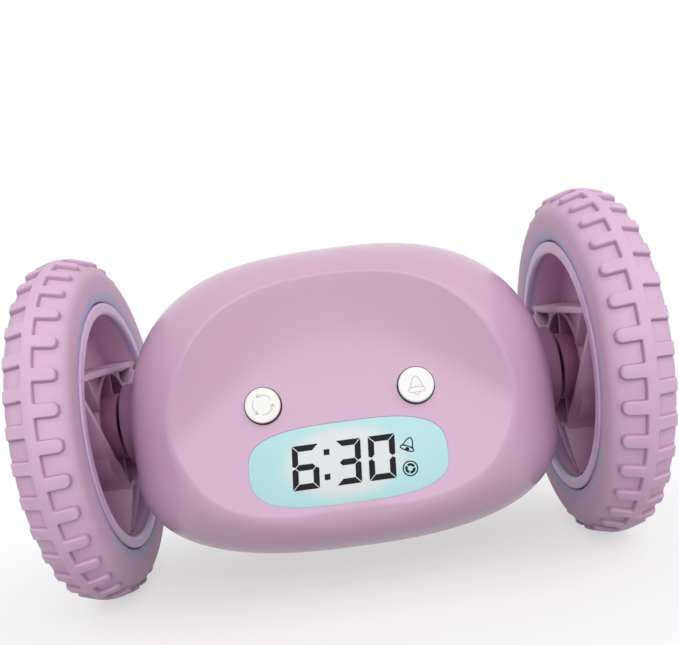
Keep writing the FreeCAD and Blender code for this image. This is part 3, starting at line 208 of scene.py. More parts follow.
# ---- materials
class Nodes:
    """Adds and links the shader nodes of a new material, or of the world that it is given."""

    def __init__(self, owner=None):
        self.owner = owner or bpy.data.materials.new("finish")
        self.owner.use_nodes = True
        self.tree = self.owner.node_tree
        self.bsdf = self.tree.nodes.get("Principled BSDF")

    def add(self, kind, **values):
        """A node with its settings and the values of its inputs."""
        node = self.tree.nodes.new("ShaderNode" + kind)
        for key, value in values.items():
            if hasattr(node, key):
                setattr(node, key, value)
            else:
                node.inputs[key].default_value = value
        return node

    def feed(self, socket, value):
        """Give an input a plain value or another node's output."""
        if isinstance(value, bpy.types.NodeSocket):
            self.tree.links.new(value, socket)
        else:
            socket.default_value = value

    def set(self, **values):
        """Feed inputs of the Principled shader."""
        for key, value in values.items():
            self.feed(self.bsdf.inputs[key.replace("_", " ")], value)

    def fed(self, kind, values, **settings):
        """A node whose first inputs are fed with the values."""
        node = self.add(kind, **settings)
        for socket, value in zip(node.inputs, values):
            self.feed(socket, value)
        return node

    def place(self):
        """Place on the object, in metres."""
        return self.add("TexCoord").outputs["Object"]

    def parts(self, vector):
        """The three parts of a vector."""
        return list(self.fed("SeparateXYZ", [vector]).outputs)

    def length(self, vector):
        return self.fed("VectorMath", [vector], operation="LENGTH").outputs["Value"]

    def maths(self, operation, *values):
        return self.fed("Math", values, operation=operation).outputs["Value"]

    def ramp(self, value, start, end, low=0.0, high=1.0, kind="SMOOTHSTEP"):
        """Map a value from one range to another, level past its ends."""
        return self.fed("MapRange", (value, start, end, low, high), interpolation_type=kind).outputs["Result"]

    def noise(self, scale, detail):
        """Solid noise on the object; scale is in features per metre."""
        return self.fed("TexNoise", [self.place()], Scale=scale, Detail=detail).outputs["Fac"]

    def blotches(self, scale, detail=3.0, low=0.0, high=1.0):
        """Noise, spread softly over a range."""
        return self.ramp(self.noise(scale, detail), 0.2, 0.8, low, high)

    def mix(self, factor, first, second):
        """Blend two colours, given as RGBA lists or outputs."""
        node = self.fed("Mix", [factor], data_type="RGBA")
        for key, value in (("A", first), ("B", second)):
            self.feed([s for s in node.inputs if s.name == key and s.type == "RGBA"][0], value)
        return [s for s in node.outputs if s.type == "RGBA"][0]

    def mottled(self, colour, dark, light, scale, detail=3.0):
        """A colour in soft blotches of two strengths."""
        return self.mix(self.blotches(scale, detail), shade(colour, dark), shade(colour, light))

    def bump(self, *layers):
        """Bump from (scale, detail, distance in metres) layers, coarse to fine."""
        for scale, detail, distance in layers:
            node = self.add("Bump", Strength=1.0, Distance=distance)
            self.feed(node.inputs["Height"], self.noise(scale, detail))
            if self.bsdf.inputs["Normal"].is_linked:
                self.feed(node.inputs["Normal"], self.bsdf.inputs["Normal"].links[0].from_socket)
            self.set(Normal=node.outputs["Normal"])

    def seen(self, least=0.0):
        """1 where the camera, a reflection or a clear body sees it, otherwise the least."""
        path = self.add("LightPath")
        for ray in ("Is Camera Ray", "Is Glossy Ray", "Is Transmission Ray"):
            least = self.maths("MAXIMUM", path.outputs[ray], least)
        return least


def moulded(colour, roughness, vary=0.04, mottle=60.0, grain=(2500.0, 0.000004), uneven=0.1,
            coat=0.0, coat_rough=0.06, **more):
    """Moulded plastic or rubber: slight mottling, uneven gloss and a fine surface grain."""
    m = Nodes()
    m.set(Base_Color=m.mottled(colour, 1 - vary, 1 + vary, mottle, 4.0),
          Roughness=m.blotches(mottle * 2, 1.0, roughness * (1 - uneven), roughness * (1 + uneven)),
          Coat_Weight=coat, Coat_Roughness=coat_rough, **more)
    m.bump((grain[0], 3.0, grain[1]))
    return m.owner


def metal(colour, roughness):
    """Drawn or stamped metal with fine scratches."""
    m = Nodes()
    m.set(Base_Color=m.mottled(colour, 0.9, 1.06, 150.0),
          Roughness=m.blotches(400.0, 3.0, roughness * 0.8, roughness * 1.25), Metallic=1.0)
    m.bump((1800.0, 2.0, 0.000006))
    return m.owner


def radial(m, low, high):
    """0 to 1 over a range of radius about the wheels' axle, in millimetres."""
    _, y, z = m.parts(m.place())
    across = m.fed("CombineXYZ", (y, m.maths("SUBTRACT", z, AXLE_Z * MM)))
    return m.ramp(m.length(across.outputs["Vector"]), low * MM, high * MM)


def tyre_rubber():
    """Soft pale tyre, with painted shade along its grooves and a painted bluish reflection beside the rim."""
    m = Nodes()
    # painted shade: the tyre darkens along its grooves by a point attribute of the mesh
    groove_shade = m.add("Attribute", attribute_name="groove_shade")
    groove_shaded = m.mix(groove_shade.outputs["Fac"], m.mottled(TYRE, 0.97, 1.04, 70.0, 4.0), linear(GROOVE_SHADE))
    # painted bluish reflection on the tyre beside the bead
    m.set(Base_Color=m.mix(radial(m, *BEAD_REFLECTION_EDGE), linear(BEAD_REFLECTION), groove_shaded),
          Roughness=m.blotches(260.0, 3.0, 0.5, 0.62), Sheen_Weight=0.12, Sheen_Roughness=0.5,
          Specular_IOR_Level=0.35)
    m.bump((900.0, 4.0, 0.00001), (4200.0, 2.0, 0.000006))
    return m.owner


def carrier_plastic():
    """Hub carrier: painted shade in deep mauve at the hub, paler along its plate and struts."""
    m = Nodes()
    web = m.mottled(CARRIER, 0.95, 1.05, 60.0, 4.0)
    # painted shade: deep mauve near the hub, fading out into the web
    m.set(Base_Color=m.mix(radial(m, *HUB_SHADE_EDGE), linear(HUB_SHADE), web),
          Roughness=m.blotches(120.0, 1.0, 0.45, 0.55), Specular_IOR_Level=0.25)
    m.bump((2500.0, 3.0, 0.000004))
    return m.owner


def rim_plastic():
    """Rim: pale flange with a painted bluish reflection on the lip behind it, then a plain barrel."""
    m = Nodes()
    along = m.maths("ABSOLUTE", m.parts(m.place())[0])
    inward = m.ramp(along, LIP_REFLECTION_EDGE[0] * MM, LIP_REFLECTION_EDGE[1] * MM)
    # painted bluish reflection on the lip, then the plain barrel
    inside = m.mix(inward, linear(LIP_REFLECTION), linear(BARREL))
    m.set(Base_Color=m.mix(radial(m, *FLANGE_EDGE), inside, m.mottled(FLANGE, 0.97, 1.03, 90.0)),
          Roughness=m.blotches(300.0, 3.0, 0.28, 0.38), Coat_Weight=0.1, Coat_Roughness=0.2)
    m.bump((2500.0, 3.0, 0.000004))
    return m.owner


def display_screen():
    """Aqua display with a pale glow behind the digits, under a clear gloss."""
    m = Nodes()
    centre = face_point(*GLOW_CENTRE, 0.0)
    wide, high = GLOW_HALF
    around_glow = m.fed("Mapping", [m.place()], Location=(-centre.x / wide, 0.0, -centre.z / high),
                        Scale=(1 / (wide * MM), 0.0, 1 / (high * MM)))
    edge = m.ramp(m.length(around_glow.outputs["Vector"]), *GLOW_EDGE)
    colour = m.mix(edge, linear(GLOW), linear(AQUA))
    darker = m.mix(edge, shade(GLOW, 0.985), shade(AQUA, 0.98))
    grained = m.mix(m.blotches(2600.0, 2.0), colour, darker)
    m.set(Base_Color=grained, Emission_Color=grained, Roughness=m.blotches(40.0, 1.0, 0.26, 0.28),
          Emission_Strength=0.04, Coat_Weight=0.2, Coat_Roughness=0.25)
    return m.owner


def make_materials():
    """Every finish, named after the slot, the print or the painted shade that has it."""
    made = {
        "shell_plastic": moulded(SHELL, 0.26, vary=0.012, mottle=18.0, grain=(1400.0, 0.0000015), uneven=0.04,
                                 coat=0.22, coat_rough=0.15, Specular_IOR_Level=0.38),
        "tyre_rubber": tyre_rubber(),
        "rim_plastic": rim_plastic(),
        "carrier_plastic": carrier_plastic(),
        # axle bosses: the shell's plastic darkened, painted shade
        "boss_shaded_plastic": moulded(BOSS_SHADE, 0.5, Specular_IOR_Level=0.25),
        "button_white": moulded(WHITE, 0.25, vary=0.01, coat=0.4),
        "button_ink": moulded("B9B9B9", 0.45),
        "window_clear": display_screen(),
        "display_ink": moulded(INK, 0.5, vary=0.08, mottle=300.0, Specular_IOR_Level=0.15),
        "lcd_glass": moulded(AQUA, 0.12, vary=0.02, coat=0.5),
        "light_guide": moulded("ECEFEF", 0.4, vary=0.02),
        "frame_plastic": moulded("242426", 0.55, vary=0.12),
        "board_green": moulded("1F5A34", 0.4, vary=0.15, mottle=350.0, coat=0.3),
        "switch_black": moulded("18181A", 0.45, vary=0.1),
        "buzzer_can": moulded("1C1C1D", 0.5, vary=0.1),
        "screw_steel": metal("BEBEC2", 0.3),
        "cell_can": moulded("4A5563", 0.35, vary=0.08, coat=0.3),
        "contact_metal": metal("D3D1CA", 0.28),
        "motor_can": metal("A9A9AC", 0.35),
        "gear_nylon": moulded("E8E6DC", 0.42, vary=0.03, Subsurface_Weight=0.1),
        "case_plastic": moulded("CBC6CB", 0.5),
        "bush_plastic": moulded("4A434A", 0.5, vary=0.1),
        "axle_steel": metal("B3B3B7", 0.22),
    }
    for name, made_material in made.items():
        made_material.name = name
    return made


MATERIALS = make_materials()
SLOT_OF = {part["node"]: part["material_slot"] for part in frame["record"]["subparts"]}


# ---- mesh helpers
def linked(name, data):
    """A new object of the scene."""
    thing = bpy.data.objects.new(name, data)
    bpy.context.scene.collection.objects.link(thing)
    return thing


def mesh_of(name, solid, weld=0.0, groove_shade=()):
    """Mesh with its faces turned outwards, from points in millimetres and faces."""
    mesh = bpy.data.meshes.new(name)
    verts, faces = solid
    mesh.from_pydata([Vector(v) * MM for v in verts], [], faces)
    if groove_shade:
        # painted groove shade, carried as a point attribute
        mesh.attributes.new("groove_shade", "FLOAT", "POINT").data.foreach_set("value", groove_shade)
    work = bmesh.new()
    work.from_mesh(mesh)
    if weld:
        bmesh.ops.remove_doubles(work, verts=work.verts, dist=weld * MM)
    bmesh.ops.recalc_face_normals(work, faces=work.faces)
    work.to_mesh(mesh)
    work.free()
    return mesh


def dressed(name, mesh, body, slot, replaced=(), material=None, sharp=35.0):
    """Turn a finished mesh into a piece of the object, smooth with sharp edges past an angle."""
    mesh.polygons.foreach_set("use_smooth", [True] * len(mesh.polygons))
    mesh.set_sharp_from_angle(angle=radians(sharp))
    mesh.materials.clear()
    mesh.materials.append(MATERIALS[material or slot])
    thing = linked(name, mesh)
    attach(thing, body)
    if replaced:
        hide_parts(*replaced)
    return thing


def piece(name, solid, body, slot, weld=0.0, groove_shade=(), **more):
    return dressed(name, mesh_of(name, solid, weld, groove_shade), body, slot, **more)


def around(count, shift=0.0):
    """Evenly spaced angles of a full turn."""
    return [2 * pi * (i + shift) / count for i in range(count)]


def grid_faces(rows, columns, first=0, closed=True):
    """Quads between consecutive rows of points; columns wrap round when closed."""
    faces = []
    for i in range(rows - 1):
        a, b = first + i * columns, first + (i + 1) * columns
        for j in range(columns if closed else columns - 1):
            k = (j + 1) % columns
            faces.append((a + j, a + k, b + k, b + j))
    return faces


def ring(loops, closed=True):
    """Solid round loops of equal length, the last joined to the first; open loops get end caps."""
    rows, count = len(loops), len(loops[0])
    faces = grid_faces(rows, count, closed=closed)
    last = (rows - 1) * count
    for j in range(count if closed else count - 1):
        k = (j + 1) % count
        faces.append((last + j, last + k, k, j))
    if not closed:
        faces += [tuple(i * count + end for i in range(rows)) for end in (0, count - 1)]
    return [point for loop in loops for point in loop], faces


def loft(loops):
    """Closed solid through loops of equal length; its ends are capped."""
    count = len(loops[0])
    faces = grid_faces(len(loops), count)
    faces.append(tuple(range(count))[::-1])
    faces.append(tuple(range((len(loops) - 1) * count, len(loops) * count)))
    return [point for loop in loops for point in loop], faces


def merged(solids):
    """One solid from several separate ones."""
    verts, faces = [], []
    for points, polygons in solids:
        first = len(verts)
        verts += points
        faces += [tuple(i + first for i in f) for f in polygons]
    return verts, faces


def lathe(name, outline, body, slot, side=1, steps=192, **more):
    """Closed ring about the axle from (x, radius) points of a closed outline."""
    loops = [[(side * x, radius * cos(turn), AXLE_Z + radius * sin(turn)) for x, radius in outline]
             for turn in around(steps)]
    return piece(name, ring(loops), body, slot, **more)


def rounded(corners, radii, steps=5):
    """Closed outline whose corners are rounded by arcs of the given radii."""
    outline = []
    count = len(corners)
    for i, (corner, radius) in enumerate(zip(corners, radii)):
        here = Vector(corner)
        to_last = Vector(corners[i - 1]) - here
        to_next = Vector(corners[(i + 1) % count]) - here
        if radius <= 0:
            outline.append(tuple(here))
            continue
        half = to_last.angle(to_next) / 2
        reach = min(radius / tan(half), to_last.length * 0.49, to_next.length * 0.49)
        start = here + to_last.normalized() * reach
        end = here + to_next.normalized() * reach
        centre = here + (to_last.normalized() + to_next.normalized()).normalized() * reach / cos(half)
        for k in range(steps + 1):
            point = start.lerp(end, k / steps) - centre
            outline.append(tuple(centre + point.normalized() * (start - centre).length))
    return outline


def softened(node, width, name):
    """Copy of a CAD node with rounded edges, which replaces it."""
    source = frame["nodes"][node]
    mesh = source.data.copy()
    work = bmesh.new()
    work.from_mesh(mesh)
    bmesh.ops.remove_doubles(work, verts=work.verts, dist=0.000002)
    bmesh.ops.dissolve_limit(work, angle_limit=radians(0.8), verts=work.verts, edges=work.edges)
    bend = radians(32.0)
    edges = [e for e in work.edges if len(e.link_faces) == 2 and e.calc_face_angle(0) > bend]
    bmesh.ops.bevel(work, geom=edges, offset=width * MM, segments=2, profile=0.5,
                    affect="EDGES", clamp_overlap=True)
    work.to_mesh(mesh)
    work.free()
    return dressed(name, mesh, source["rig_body"], SLOT_OF[node], [node])


def cut(name, solid, cutters):
    """Mesh of a solid less its cutters."""
    base = linked(name + "_base", mesh_of(name + "_base", solid))
    tool = linked(name + "_tool", mesh_of(name + "_tool", merged(cutters)))
    modifier = base.modifiers.new("cut", "BOOLEAN")
    modifier.operation = "DIFFERENCE"
    modifier.solver = "EXACT"
    modifier.object = tool
    mesh = bpy.data.meshes.new_from_object(base.evaluated_get(bpy.context.evaluated_depsgraph_get()))
    for thing in (base, tool):
        bpy.data.objects.remove(thing)
    mesh.name = name
    return mesh


# ---- body shells
def oval_r(turn, half_w, half_h, power):
    """Radius of a squarish oval at an angle."""
    return ((abs(cos(turn)) / half_w) ** power + (abs(sin(turn)) / half_h) ** power) ** (-1 / power)


def outline_r(turn, inset=0.0):
    """Radius of the widest section at an angle, about the body's centre line."""
    half_h, power = (BODY_UP, UPPER_POWER) if sin(turn) > 0 else (BODY_DOWN, LOWER_POWER)
    return oval_r(turn, BODY_HALF_W - inset, half_h - inset, power)


def section_r(turn, y, inset=0.0):
    """Radius of the section at a station and an angle."""
    reach = (FRONT_REACH if y < WIDEST_Y else BACK_REACH) - inset
    share = min(1.0, abs(y - WIDEST_Y) / reach)
    return (1 - share ** PLAN_POWER) ** (1 / PLAN_POWER) * outline_r(turn, inset)


def face_y(x, z):
    """Depth of the scooped face; z is relative to the axle."""
    lean, brow = tan(FACE_TILT), tan(BROW_LEAN)
    above = z - (BEND_Z - BEND_ARCH * x * x)
    bend = BEND_SOFT * log1p(exp(min(above / BEND_SOFT, 60.0)))
    upper = 1 / (1 + exp(-above / BEND_SOFT))
    return TOE_Y + (z - TOE_Z) * lean - (lean - brow) * bend + BROW_CURL * upper * x * x


def on_profile(turn, radius, y):
    """Point of the half-plane at an angle about the body's centre line."""
    return Vector((radius * cos(turn), y, BODY_Z + radius * sin(turn)))


def face_at(turn, radius, inset):
    x, z = radius * cos(turn), WIDEST_Z + radius * sin(turn)
    return face_y(x, z) + inset / cos(FACE_TILT)


def edge_station(turn, inset):
    """Station where the face meets the skin at an angle."""
    low, high = WIDEST_Y - FRONT_REACH + inset, WIDEST_Y
    for _ in range(50):
        y = (low + high) / 2
        if y < face_at(turn, section_r(turn, y, inset), inset):
            low = y
        else:
            high = y
    return (low + high) / 2


def edge_round(turn):
    """How far the rounding of the face's edge reaches, crisp at the brow and soft at the chin."""
    down = min(1.0, max(0.0, 0.35 - sin(turn)) / 1.1)
    smooth = down * down * (3 - 2 * down)
    return BROW_ROUND + (CHIN_ROUND - BROW_ROUND) * smooth


def bent(start, corner, end, steps):
    """Points of a smooth bend between its two ends."""
    shares = [i / steps for i in range(1, steps)]
    return [start * (1 - t) ** 2 + corner * 2 * t * (1 - t) + end * t * t for t in shares]


def seam_edge(profile, way):
    """Round over a profile's last point at the seam; way is -1 on the front shell and 1 on the rear."""
    radius = profile.pop().x
    small = SEAM_ROUND * 0.3
    profile += [Vector((radius, SEAM_Y + way * SEAM_ROUND)), Vector((radius - small, SEAM_Y + way * small)),
                Vector((radius - SEAM_ROUND, SEAM_Y))]


def front_profile(turn, inset, softness):
    """Points (radius, y) from the middle of the face, over its edge, back to the seam."""
    y_edge = edge_station(turn, inset)
    r_edge = section_r(turn, y_edge, inset)
    r_face = r_edge - softness
    y_skin = y_edge + softness * 0.9
    radii = [r_face * i / (FACE_STEPS - 1) for i in range(FACE_STEPS)]
    points = [Vector((radius, face_at(turn, radius, inset))) for radius in radii]
    start = points[-1]
    end = Vector((section_r(turn, y_skin, inset), y_skin))
    corner = Vector((r_edge, y_edge))
    if softness > 0.2:
        corner = meeting(turn, inset, r_face, y_skin, start, end)
    points += bent(start, corner, end, EDGE_STEPS)
    for i in range(SKIN_STEPS):
        share = i / (SKIN_STEPS - 1)
        y = y_skin + (SEAM_Y - y_skin) * share ** 1.25
        points.append(Vector((section_r(turn, y, inset), y)))
    return points


def meeting(turn, inset, r_face, y_skin, start, end):
    """Where the face's and the skin's tangents at the rounding's ends cross."""
    step = 0.05
    along_face = Vector((r_face + step, face_at(turn, r_face + step, inset))) - start
    along_skin = Vector((section_r(turn, y_skin - step, inset), y_skin - step)) - end
    cross = along_face.x * along_skin.y - along_face.y * along_skin.x
    gap = end - start
    return start + along_face * (gap.x * along_skin.y - gap.y * along_skin.x) / cross


def rear_profile(turn, inset, softness):
    """Points (radius, y) from the middle of the back panel, round its edge, on to the seam."""
    flat = BACK_PANEL_Y - inset
    y_skin = flat - softness
    r_flat = section_r(turn, flat, inset)
    start = Vector((r_flat - softness, flat))
    end = Vector((section_r(turn, y_skin, inset), y_skin))
    points = [Vector((start.x * i / REAR_STEPS, flat)) for i in range(REAR_STEPS + 1)]
    points += bent(start, Vector((r_flat, flat)), end, PANEL_EDGE_STEPS)
    for i in range(REAR_STEPS):
        y = y_skin + (SEAM_Y - y_skin) * i / (REAR_STEPS - 1)
        points.append(Vector((section_r(turn, y, inset), y)))
    return points


def shell_solid(profile, way):
    """Closed wall between an outer and an inner profile that both run from a pole to the seam."""
    outer, inner = [], []
    for turn in around(TURNS, 0.5):
        skin, hidden = profile(turn)
        seam_edge(skin, way)
        outer.append([on_profile(turn, *p) for p in skin])
        inner.append([on_profile(turn, *p) for p in hidden])
    verts, faces = [], []
    for columns, flip in ((outer, False), (inner, True)):
        first = len(verts)
        rows = len(columns[0])
        verts.append(sum((c[0] for c in columns), Vector()) / TURNS)
        for row in range(1, rows):
            verts += [c[row] for c in columns]
        fan = [(first, first + 1 + (j + 1) % TURNS, first + 1 + j) for j in range(TURNS)]
        quads = grid_faces(rows - 1, TURNS, first + 1)
        faces += [f[::-1] for f in fan + quads] if flip else fan + quads
    outer_last = 1 + (len(outer[0]) - 2) * TURNS
    inner_last = len(verts) - TURNS
    for j in range(TURNS):
        k = (j + 1) % TURNS
        faces.append((outer_last + j, outer_last + k, inner_last + k, inner_last + j))
    return verts, faces


def front_profiles(turn):
    hidden = front_profile(turn, WALL, INNER_ROUND)[::4]
    hidden.append(Vector((section_r(turn, SEAM_Y, WALL), SEAM_Y)))
    return front_profile(turn, 0.0, edge_round(turn)), hidden


def rear_profiles(turn):
    return rear_profile(turn, 0.0, PANEL_ROUND), rear_profile(turn, WALL, INNER_ROUND)


def window_loop(grow, depth):
    """Rounded display outline in face coordinates."""
    points = []
    for turn in around(WINDOW_TURNS, 0.5):
        radius = oval_r(turn, WINDOW_W / 2 + grow, WINDOW_H / 2 + grow, WINDOW_POWER)
        points.append(face_point(radius * cos(turn), WINDOW_V + radius * sin(turn), -depth))
    return points


def face_circle(x, v, radius, out, count=BUTTON_TURNS):
    return [face_point(x + radius * cos(t), v + radius * sin(t), out) for t in around(count)]


def back_circle(x, z, radius, y, count=48):
    return [Vector((x + radius * cos(t), y, AXLE_Z + z + radius * sin(t))) for t in around(count)]


def flared(loop, edge, above):
    """Cutter from loop(grow, depth): straight sides with a small chamfer at the surface."""
    return loft([loop(edge + above, -above), loop(edge, 0.0), loop(0.0, edge), loop(0.0, 3 * WALL)])


def door_loop(z):
    """Outline of the battery opening in the belly, at one level."""
    low, high = span("battery_door")
    half_w = (high.x - low.x) / 2 + DOOR_GAP
    y0, y1 = low.y - DOOR_GAP, high.y + DOOR_GAP
    corners = [(half_w, y0), (half_w, y1), (-half_w, y1), (-half_w, y0)]
    return [Vector((x, y, z)) for x, y in rounded(corners, [DOOR_ROUND + DOOR_GAP] * 4, 12)]


def front_shell():
    """Front half with its openings, and the bosses that hold the axle bushes."""
    cutters = [flared(window_loop, 0.03, 0.9)]
    for way in SIDES.values():
        cutters.append(loft([face_circle(way * BUTTON_X, BUTTON_V, BUTTON_R + HOLE_GAP, out, 64)
                             for out in (2 * WALL, -3 * WALL)]))
    below = span("front_shell")[0].z
    cutters.append(loft([door_loop(below + depth) for depth in DOOR_CUT]))
    mesh = cut("front_shell_skin", shell_solid(front_profiles, -1), cutters)
    dressed("front_shell_skin", mesh, "chassis", "shell_plastic", ["front_shell"], sharp=40.0)
    corners = [(BUSH_R, BOSS_OUT), (BOSS_R, BOSS_OUT), (BOSS_R, BOSS_ROOT), (BUSH_R, BOSS_ROOT)]
    outline = [(x, radius) for radius, x in rounded(corners, [0.3, 0.6, 0.0, 0.0])]
    for side_name, side in SIDES.items():
        # the bosses take the darker copy of the shell's plastic, painted shade
        lathe("axle_boss_" + side_name, outline, "chassis", "shell_plastic", side, material="boss_shaded_plastic")


def rear_shell():
    """Rear half with its button holes, sound holes and screw wells."""
    holes = [(x, BACK_BUTTON_Z, BACK_BUTTON_R + HOLE_GAP) for x in BACK_BUTTONS.values()]
    holes += [(0.0, SOUND_Z, SOUND_R)]
    holes += [(SOUND_PITCH * cos(t), SOUND_Z + SOUND_PITCH * sin(t), SOUND_R) for t in around(6)]
    cutters = [flared(lambda grow, depth, x=x, z=z, radius=radius:
                      back_circle(x, z, radius + grow, BACK_PANEL_Y - depth), 0.2, 0.4)
               for x, z, radius in holes]
    wells = {}
    for index, (x, z) in enumerate(COLUMNS):
        for side_name, way in SIDES.items():
            wells["screw_well_%s_%d" % (side_name, index)] = (way * x, z)
    for x, z in wells.values():
        cutters.append(loft([back_circle(x, z, COLUMN_HEAD_R, y) for y in (BACK_PANEL_Y + 2, WELL_FLOOR_Y)]))
    mesh = cut("rear_shell_skin", shell_solid(rear_profiles, 1), cutters)
    dressed("rear_shell_skin", mesh, "chassis", "shell_plastic", ["rear_shell"], sharp=40.0)
    for name, (x, z) in wells.items():
        screw_well(name, x, z)


def skin_y(x, z):
    """Depth of the rear skin at a place on the back; z is relative to the axle."""
    share = hypot(x, z - WIDEST_Z) / outline_r(atan2(z - WIDEST_Z, x))
    reach = (1 - min(1.0, share) ** PLAN_POWER) ** (1 / PLAN_POWER)
    return min(BACK_PANEL_Y, WIDEST_Y + BACK_REACH * reach)


def screw_well(name, x, z):
    """Wall of the deep hole over a shell screw, from its head out to just inside the skin."""
    inner, outer = COLUMN_HEAD_R + 0.01, COLUMN_HEAD_R + WELL_WALL
    loops = [back_circle(x, z, radius, y) for radius, y in
             ((inner, 0.0), (inner, WELL_FLOOR_Y), (outer, WELL_BASE_Y), (outer, 0.0))]
    for loop in (loops[0], loops[3]):
        for point in loop:
            point.y = skin_y(point.x, point.z - AXLE_Z) - WELL_SUNK
    piece(name, ring(loops), "chassis", "shell_plastic")


# ---- display and buttons
DIGIT_H = 9.9
STROKE = 1.34
SEGMENT_GAP = 0.13
DIGIT_LEAN = tan(radians(5.0))
DIGITS = {"6": (-9.5, 6.0), "3": (0.1, 5.6), "0": (7.55, 6.0)}  # middle and width of each
LIT = {"6": "afedcg", "3": "abgcd", "0": "abcdef"}
COLON_X = -4.75
COLON_V = 2.75
COLON_SIZE = 1.3
BELL_AT, BELL_SIZE, BELL_TILT = (13.75, 13.15), 3.15, -26.0   # display symbols, across and up along the face
CLAPPER_AT, CLAPPER_R = (13.3, 12.0), 0.47
RING_AT, RING_R, ARROWS_R = (13.4, 7.7), 1.6, 0.88
SYMBOL_LINE, ARROW_LINE = 0.28, 0.56
INK_LOW, INK_HIGH = -WINDOW_RECESS - 0.05, -WINDOW_RECESS + 0.03
# growth from the window's outline and depth in the face, from the lens's back to its front
LENS = ((-0.5, WALL + 1.2), (-0.02, WALL + 1.0), (-0.02, WINDOW_RECESS + 0.04), (-0.04, WINDOW_RECESS + 0.01),
        (-0.1, WINDOW_RECESS))
ARROW_R, ARROW_TURN, BARB, BARB_TURNS = 2.25, 96, 0.95, (145, -150)   # run button's arrows, turns in degrees
CAP_BELL, CAP_CLAPPER_R = 3.9, 0.6


def plate(outline, base, top):
    """Thin plate with an outline of (x, v) points, standing on the face from base to top."""
    return loft([[face_point(x, v, out) for x, v in outline] for out in (base, top)])


def segment(letter, width):
    """Outline of one segment of a digit, about the digit's middle."""
    w, h, t, g = width / 2, DIGIT_H / 2, STROKE, SEGMENT_GAP
    if letter in "ad":
        way = 1 if letter == "a" else -1
        return [(-w + g, way * h), (w - g, way * h), (w - t - g, way * (h - t)), (-w + t + g, way * (h - t))]
    if letter == "g":
        return [(-w + t * 0.5 + g, 0), (-w + t + g, t / 2), (w - t - g, t / 2), (w - t * 0.5 - g, 0),
                (w - t - g, -t / 2), (-w + t + g, -t / 2)]
    side = 1 if letter in "bc" else -1
    way = 1 if letter in "bf" else -1
    return [(side * w, way * (h - g)), (side * w, way * (t * 0.35)), (side * (w - t * 0.5), way * g),
            (side * (w - t), way * (t / 2 + g)), (side * (w - t), way * (h - t - g))]


def leaned(points, x):
    """Outline moved to its place on the display and leaned like the digits."""
    return [(x + px + pv * DIGIT_LEAN, WINDOW_V + pv) for px, pv in points]


def line(points, width, base, top, closed=False):
    """Raised line of constant width along (x, v) points."""
    count = len(points)
    left, right = [], []
    for i, (x, v) in enumerate(points):
        before = points[i - 1 if closed else max(0, i - 1)]
        after = points[(i + 1) % count if closed else min(count - 1, i + 1)]
        dx, dv = after[0] - before[0], after[1] - before[1]
        size = hypot(dx, dv) or 1.0
        nx, nv = -dv / size * width / 2, dx / size * width / 2
        left.append((x + nx, v + nv))
        right.append((x - nx, v - nv))
    return ring([[face_point(x, v, out) for x, v in side]
                 for side, out in ((left, base), (left, top), (right, top), (right, base))], closed)


def arc(cx, cv, radius, start, end, count=28):
    turns = [radians(start + (end - start) * i / count) for i in range(count + 1)]
    return [(cx + radius * cos(t), cv + radius * sin(t)) for t in turns]


def bell(cx, cv, size, tilt, *how):
    """Plain bell in two lines: its outline with a flared mouth, and the rim across it."""
    half = [(0.0, 0.46), (0.1, 0.41), (0.2, 0.28), (0.28, 0.08), (0.33, -0.12), (0.42, -0.24), (0.5, -0.34),
            (0.45, -0.43), (0.25, -0.47)]
    outline = half + [(0.0, -0.48)] + [(-x, v) for x, v in half[:0:-1]]
    rim = [(0.42 * cos(t), -0.24 + 0.07 * sin(t)) for t in [pi * i / 8 for i in range(9)]]
    cosine, sine = cos(radians(tilt)), sin(radians(tilt))

    def placed(points):
        return [(cx + size * (x * cosine - v * sine), cv + size * (x * sine + v * cosine)) for x, v in points]

    return [line(placed(outline), *how, closed=True), line(placed(rim), *how)]


def ink(name, solids):
    """Dark print on the display's lens."""
    piece(name, merged(solids), "chassis", "window_clear", material="display_ink")


def display():
    """Lens with its digits, colon and symbols."""
    lens = loft([window_loop(grow, depth) for grow, depth in LENS])
    piece("display_lens", lens, "chassis", "window_clear", replaced=["display_window"], sharp=50.0)
    digits = [leaned(segment(letter, width), x) for digit, (x, width) in DIGITS.items()
              for letter in LIT[digit]]
    half = COLON_SIZE / 2
    for v in (COLON_V, -COLON_V):
        dot = [(-half, v - half), (half, v - half), (half, v + half), (-half, v + half)]
        digits.append(leaned(dot, COLON_X))
    ink("display_digits", [plate(outline, INK_LOW, INK_HIGH) for outline in digits])
    thin = (SYMBOL_LINE, INK_LOW, INK_HIGH)
    ink("display_bell_and_ring", bell(*BELL_AT, BELL_SIZE, BELL_TILT, *thin)
        + [line(arc(*RING_AT, RING_R, 0, 348, 29), *thin, closed=True)])
    ink("display_arrows", [line(arc(*RING_AT, ARROWS_R, 20 + 120 * i, 124 + 120 * i, 12),
                                ARROW_LINE, INK_LOW, INK_HIGH) for i in range(3)])
    ink("display_clapper", [plate(arc(*CLAPPER_AT, CLAPPER_R, 0, 342, 19), INK_LOW, INK_HIGH)])


def face_tube(x, inner, outer, low, high, sunk=None):
    """Ring between two radii round a button, from low to high, or up to a depth below the scooped face."""
    loops = [face_circle(x, BUTTON_V, radius, out) for radius, out in
             ((inner, low), (outer, low), (outer, high), (inner, high))]
    if sunk is not None:
        for loop in loops[2:]:
            for point in loop:
                rise = (point.y - face_y(point.x, point.z - AXLE_Z)) * cos(FACE_TILT) - sunk
                point += face_point(0.0, 0.0, rise) - face_point(0.0, 0.0, 0.0)
    return ring(loops)


def cap_profile(radius, low, top, edge, middle):
    """(radius, height) points of a cap: foot behind the wall, side, rounded edge, then its top."""
    points = [(radius + FLANGE_W, low - FLANGE_T), (radius + FLANGE_W, low), (radius, low)]
    for i in range(7):
        turn = pi / 2 * i / 6
        points.append((radius - edge * (1 - cos(turn)), top - edge * (1 - sin(turn))))
    return points + middle


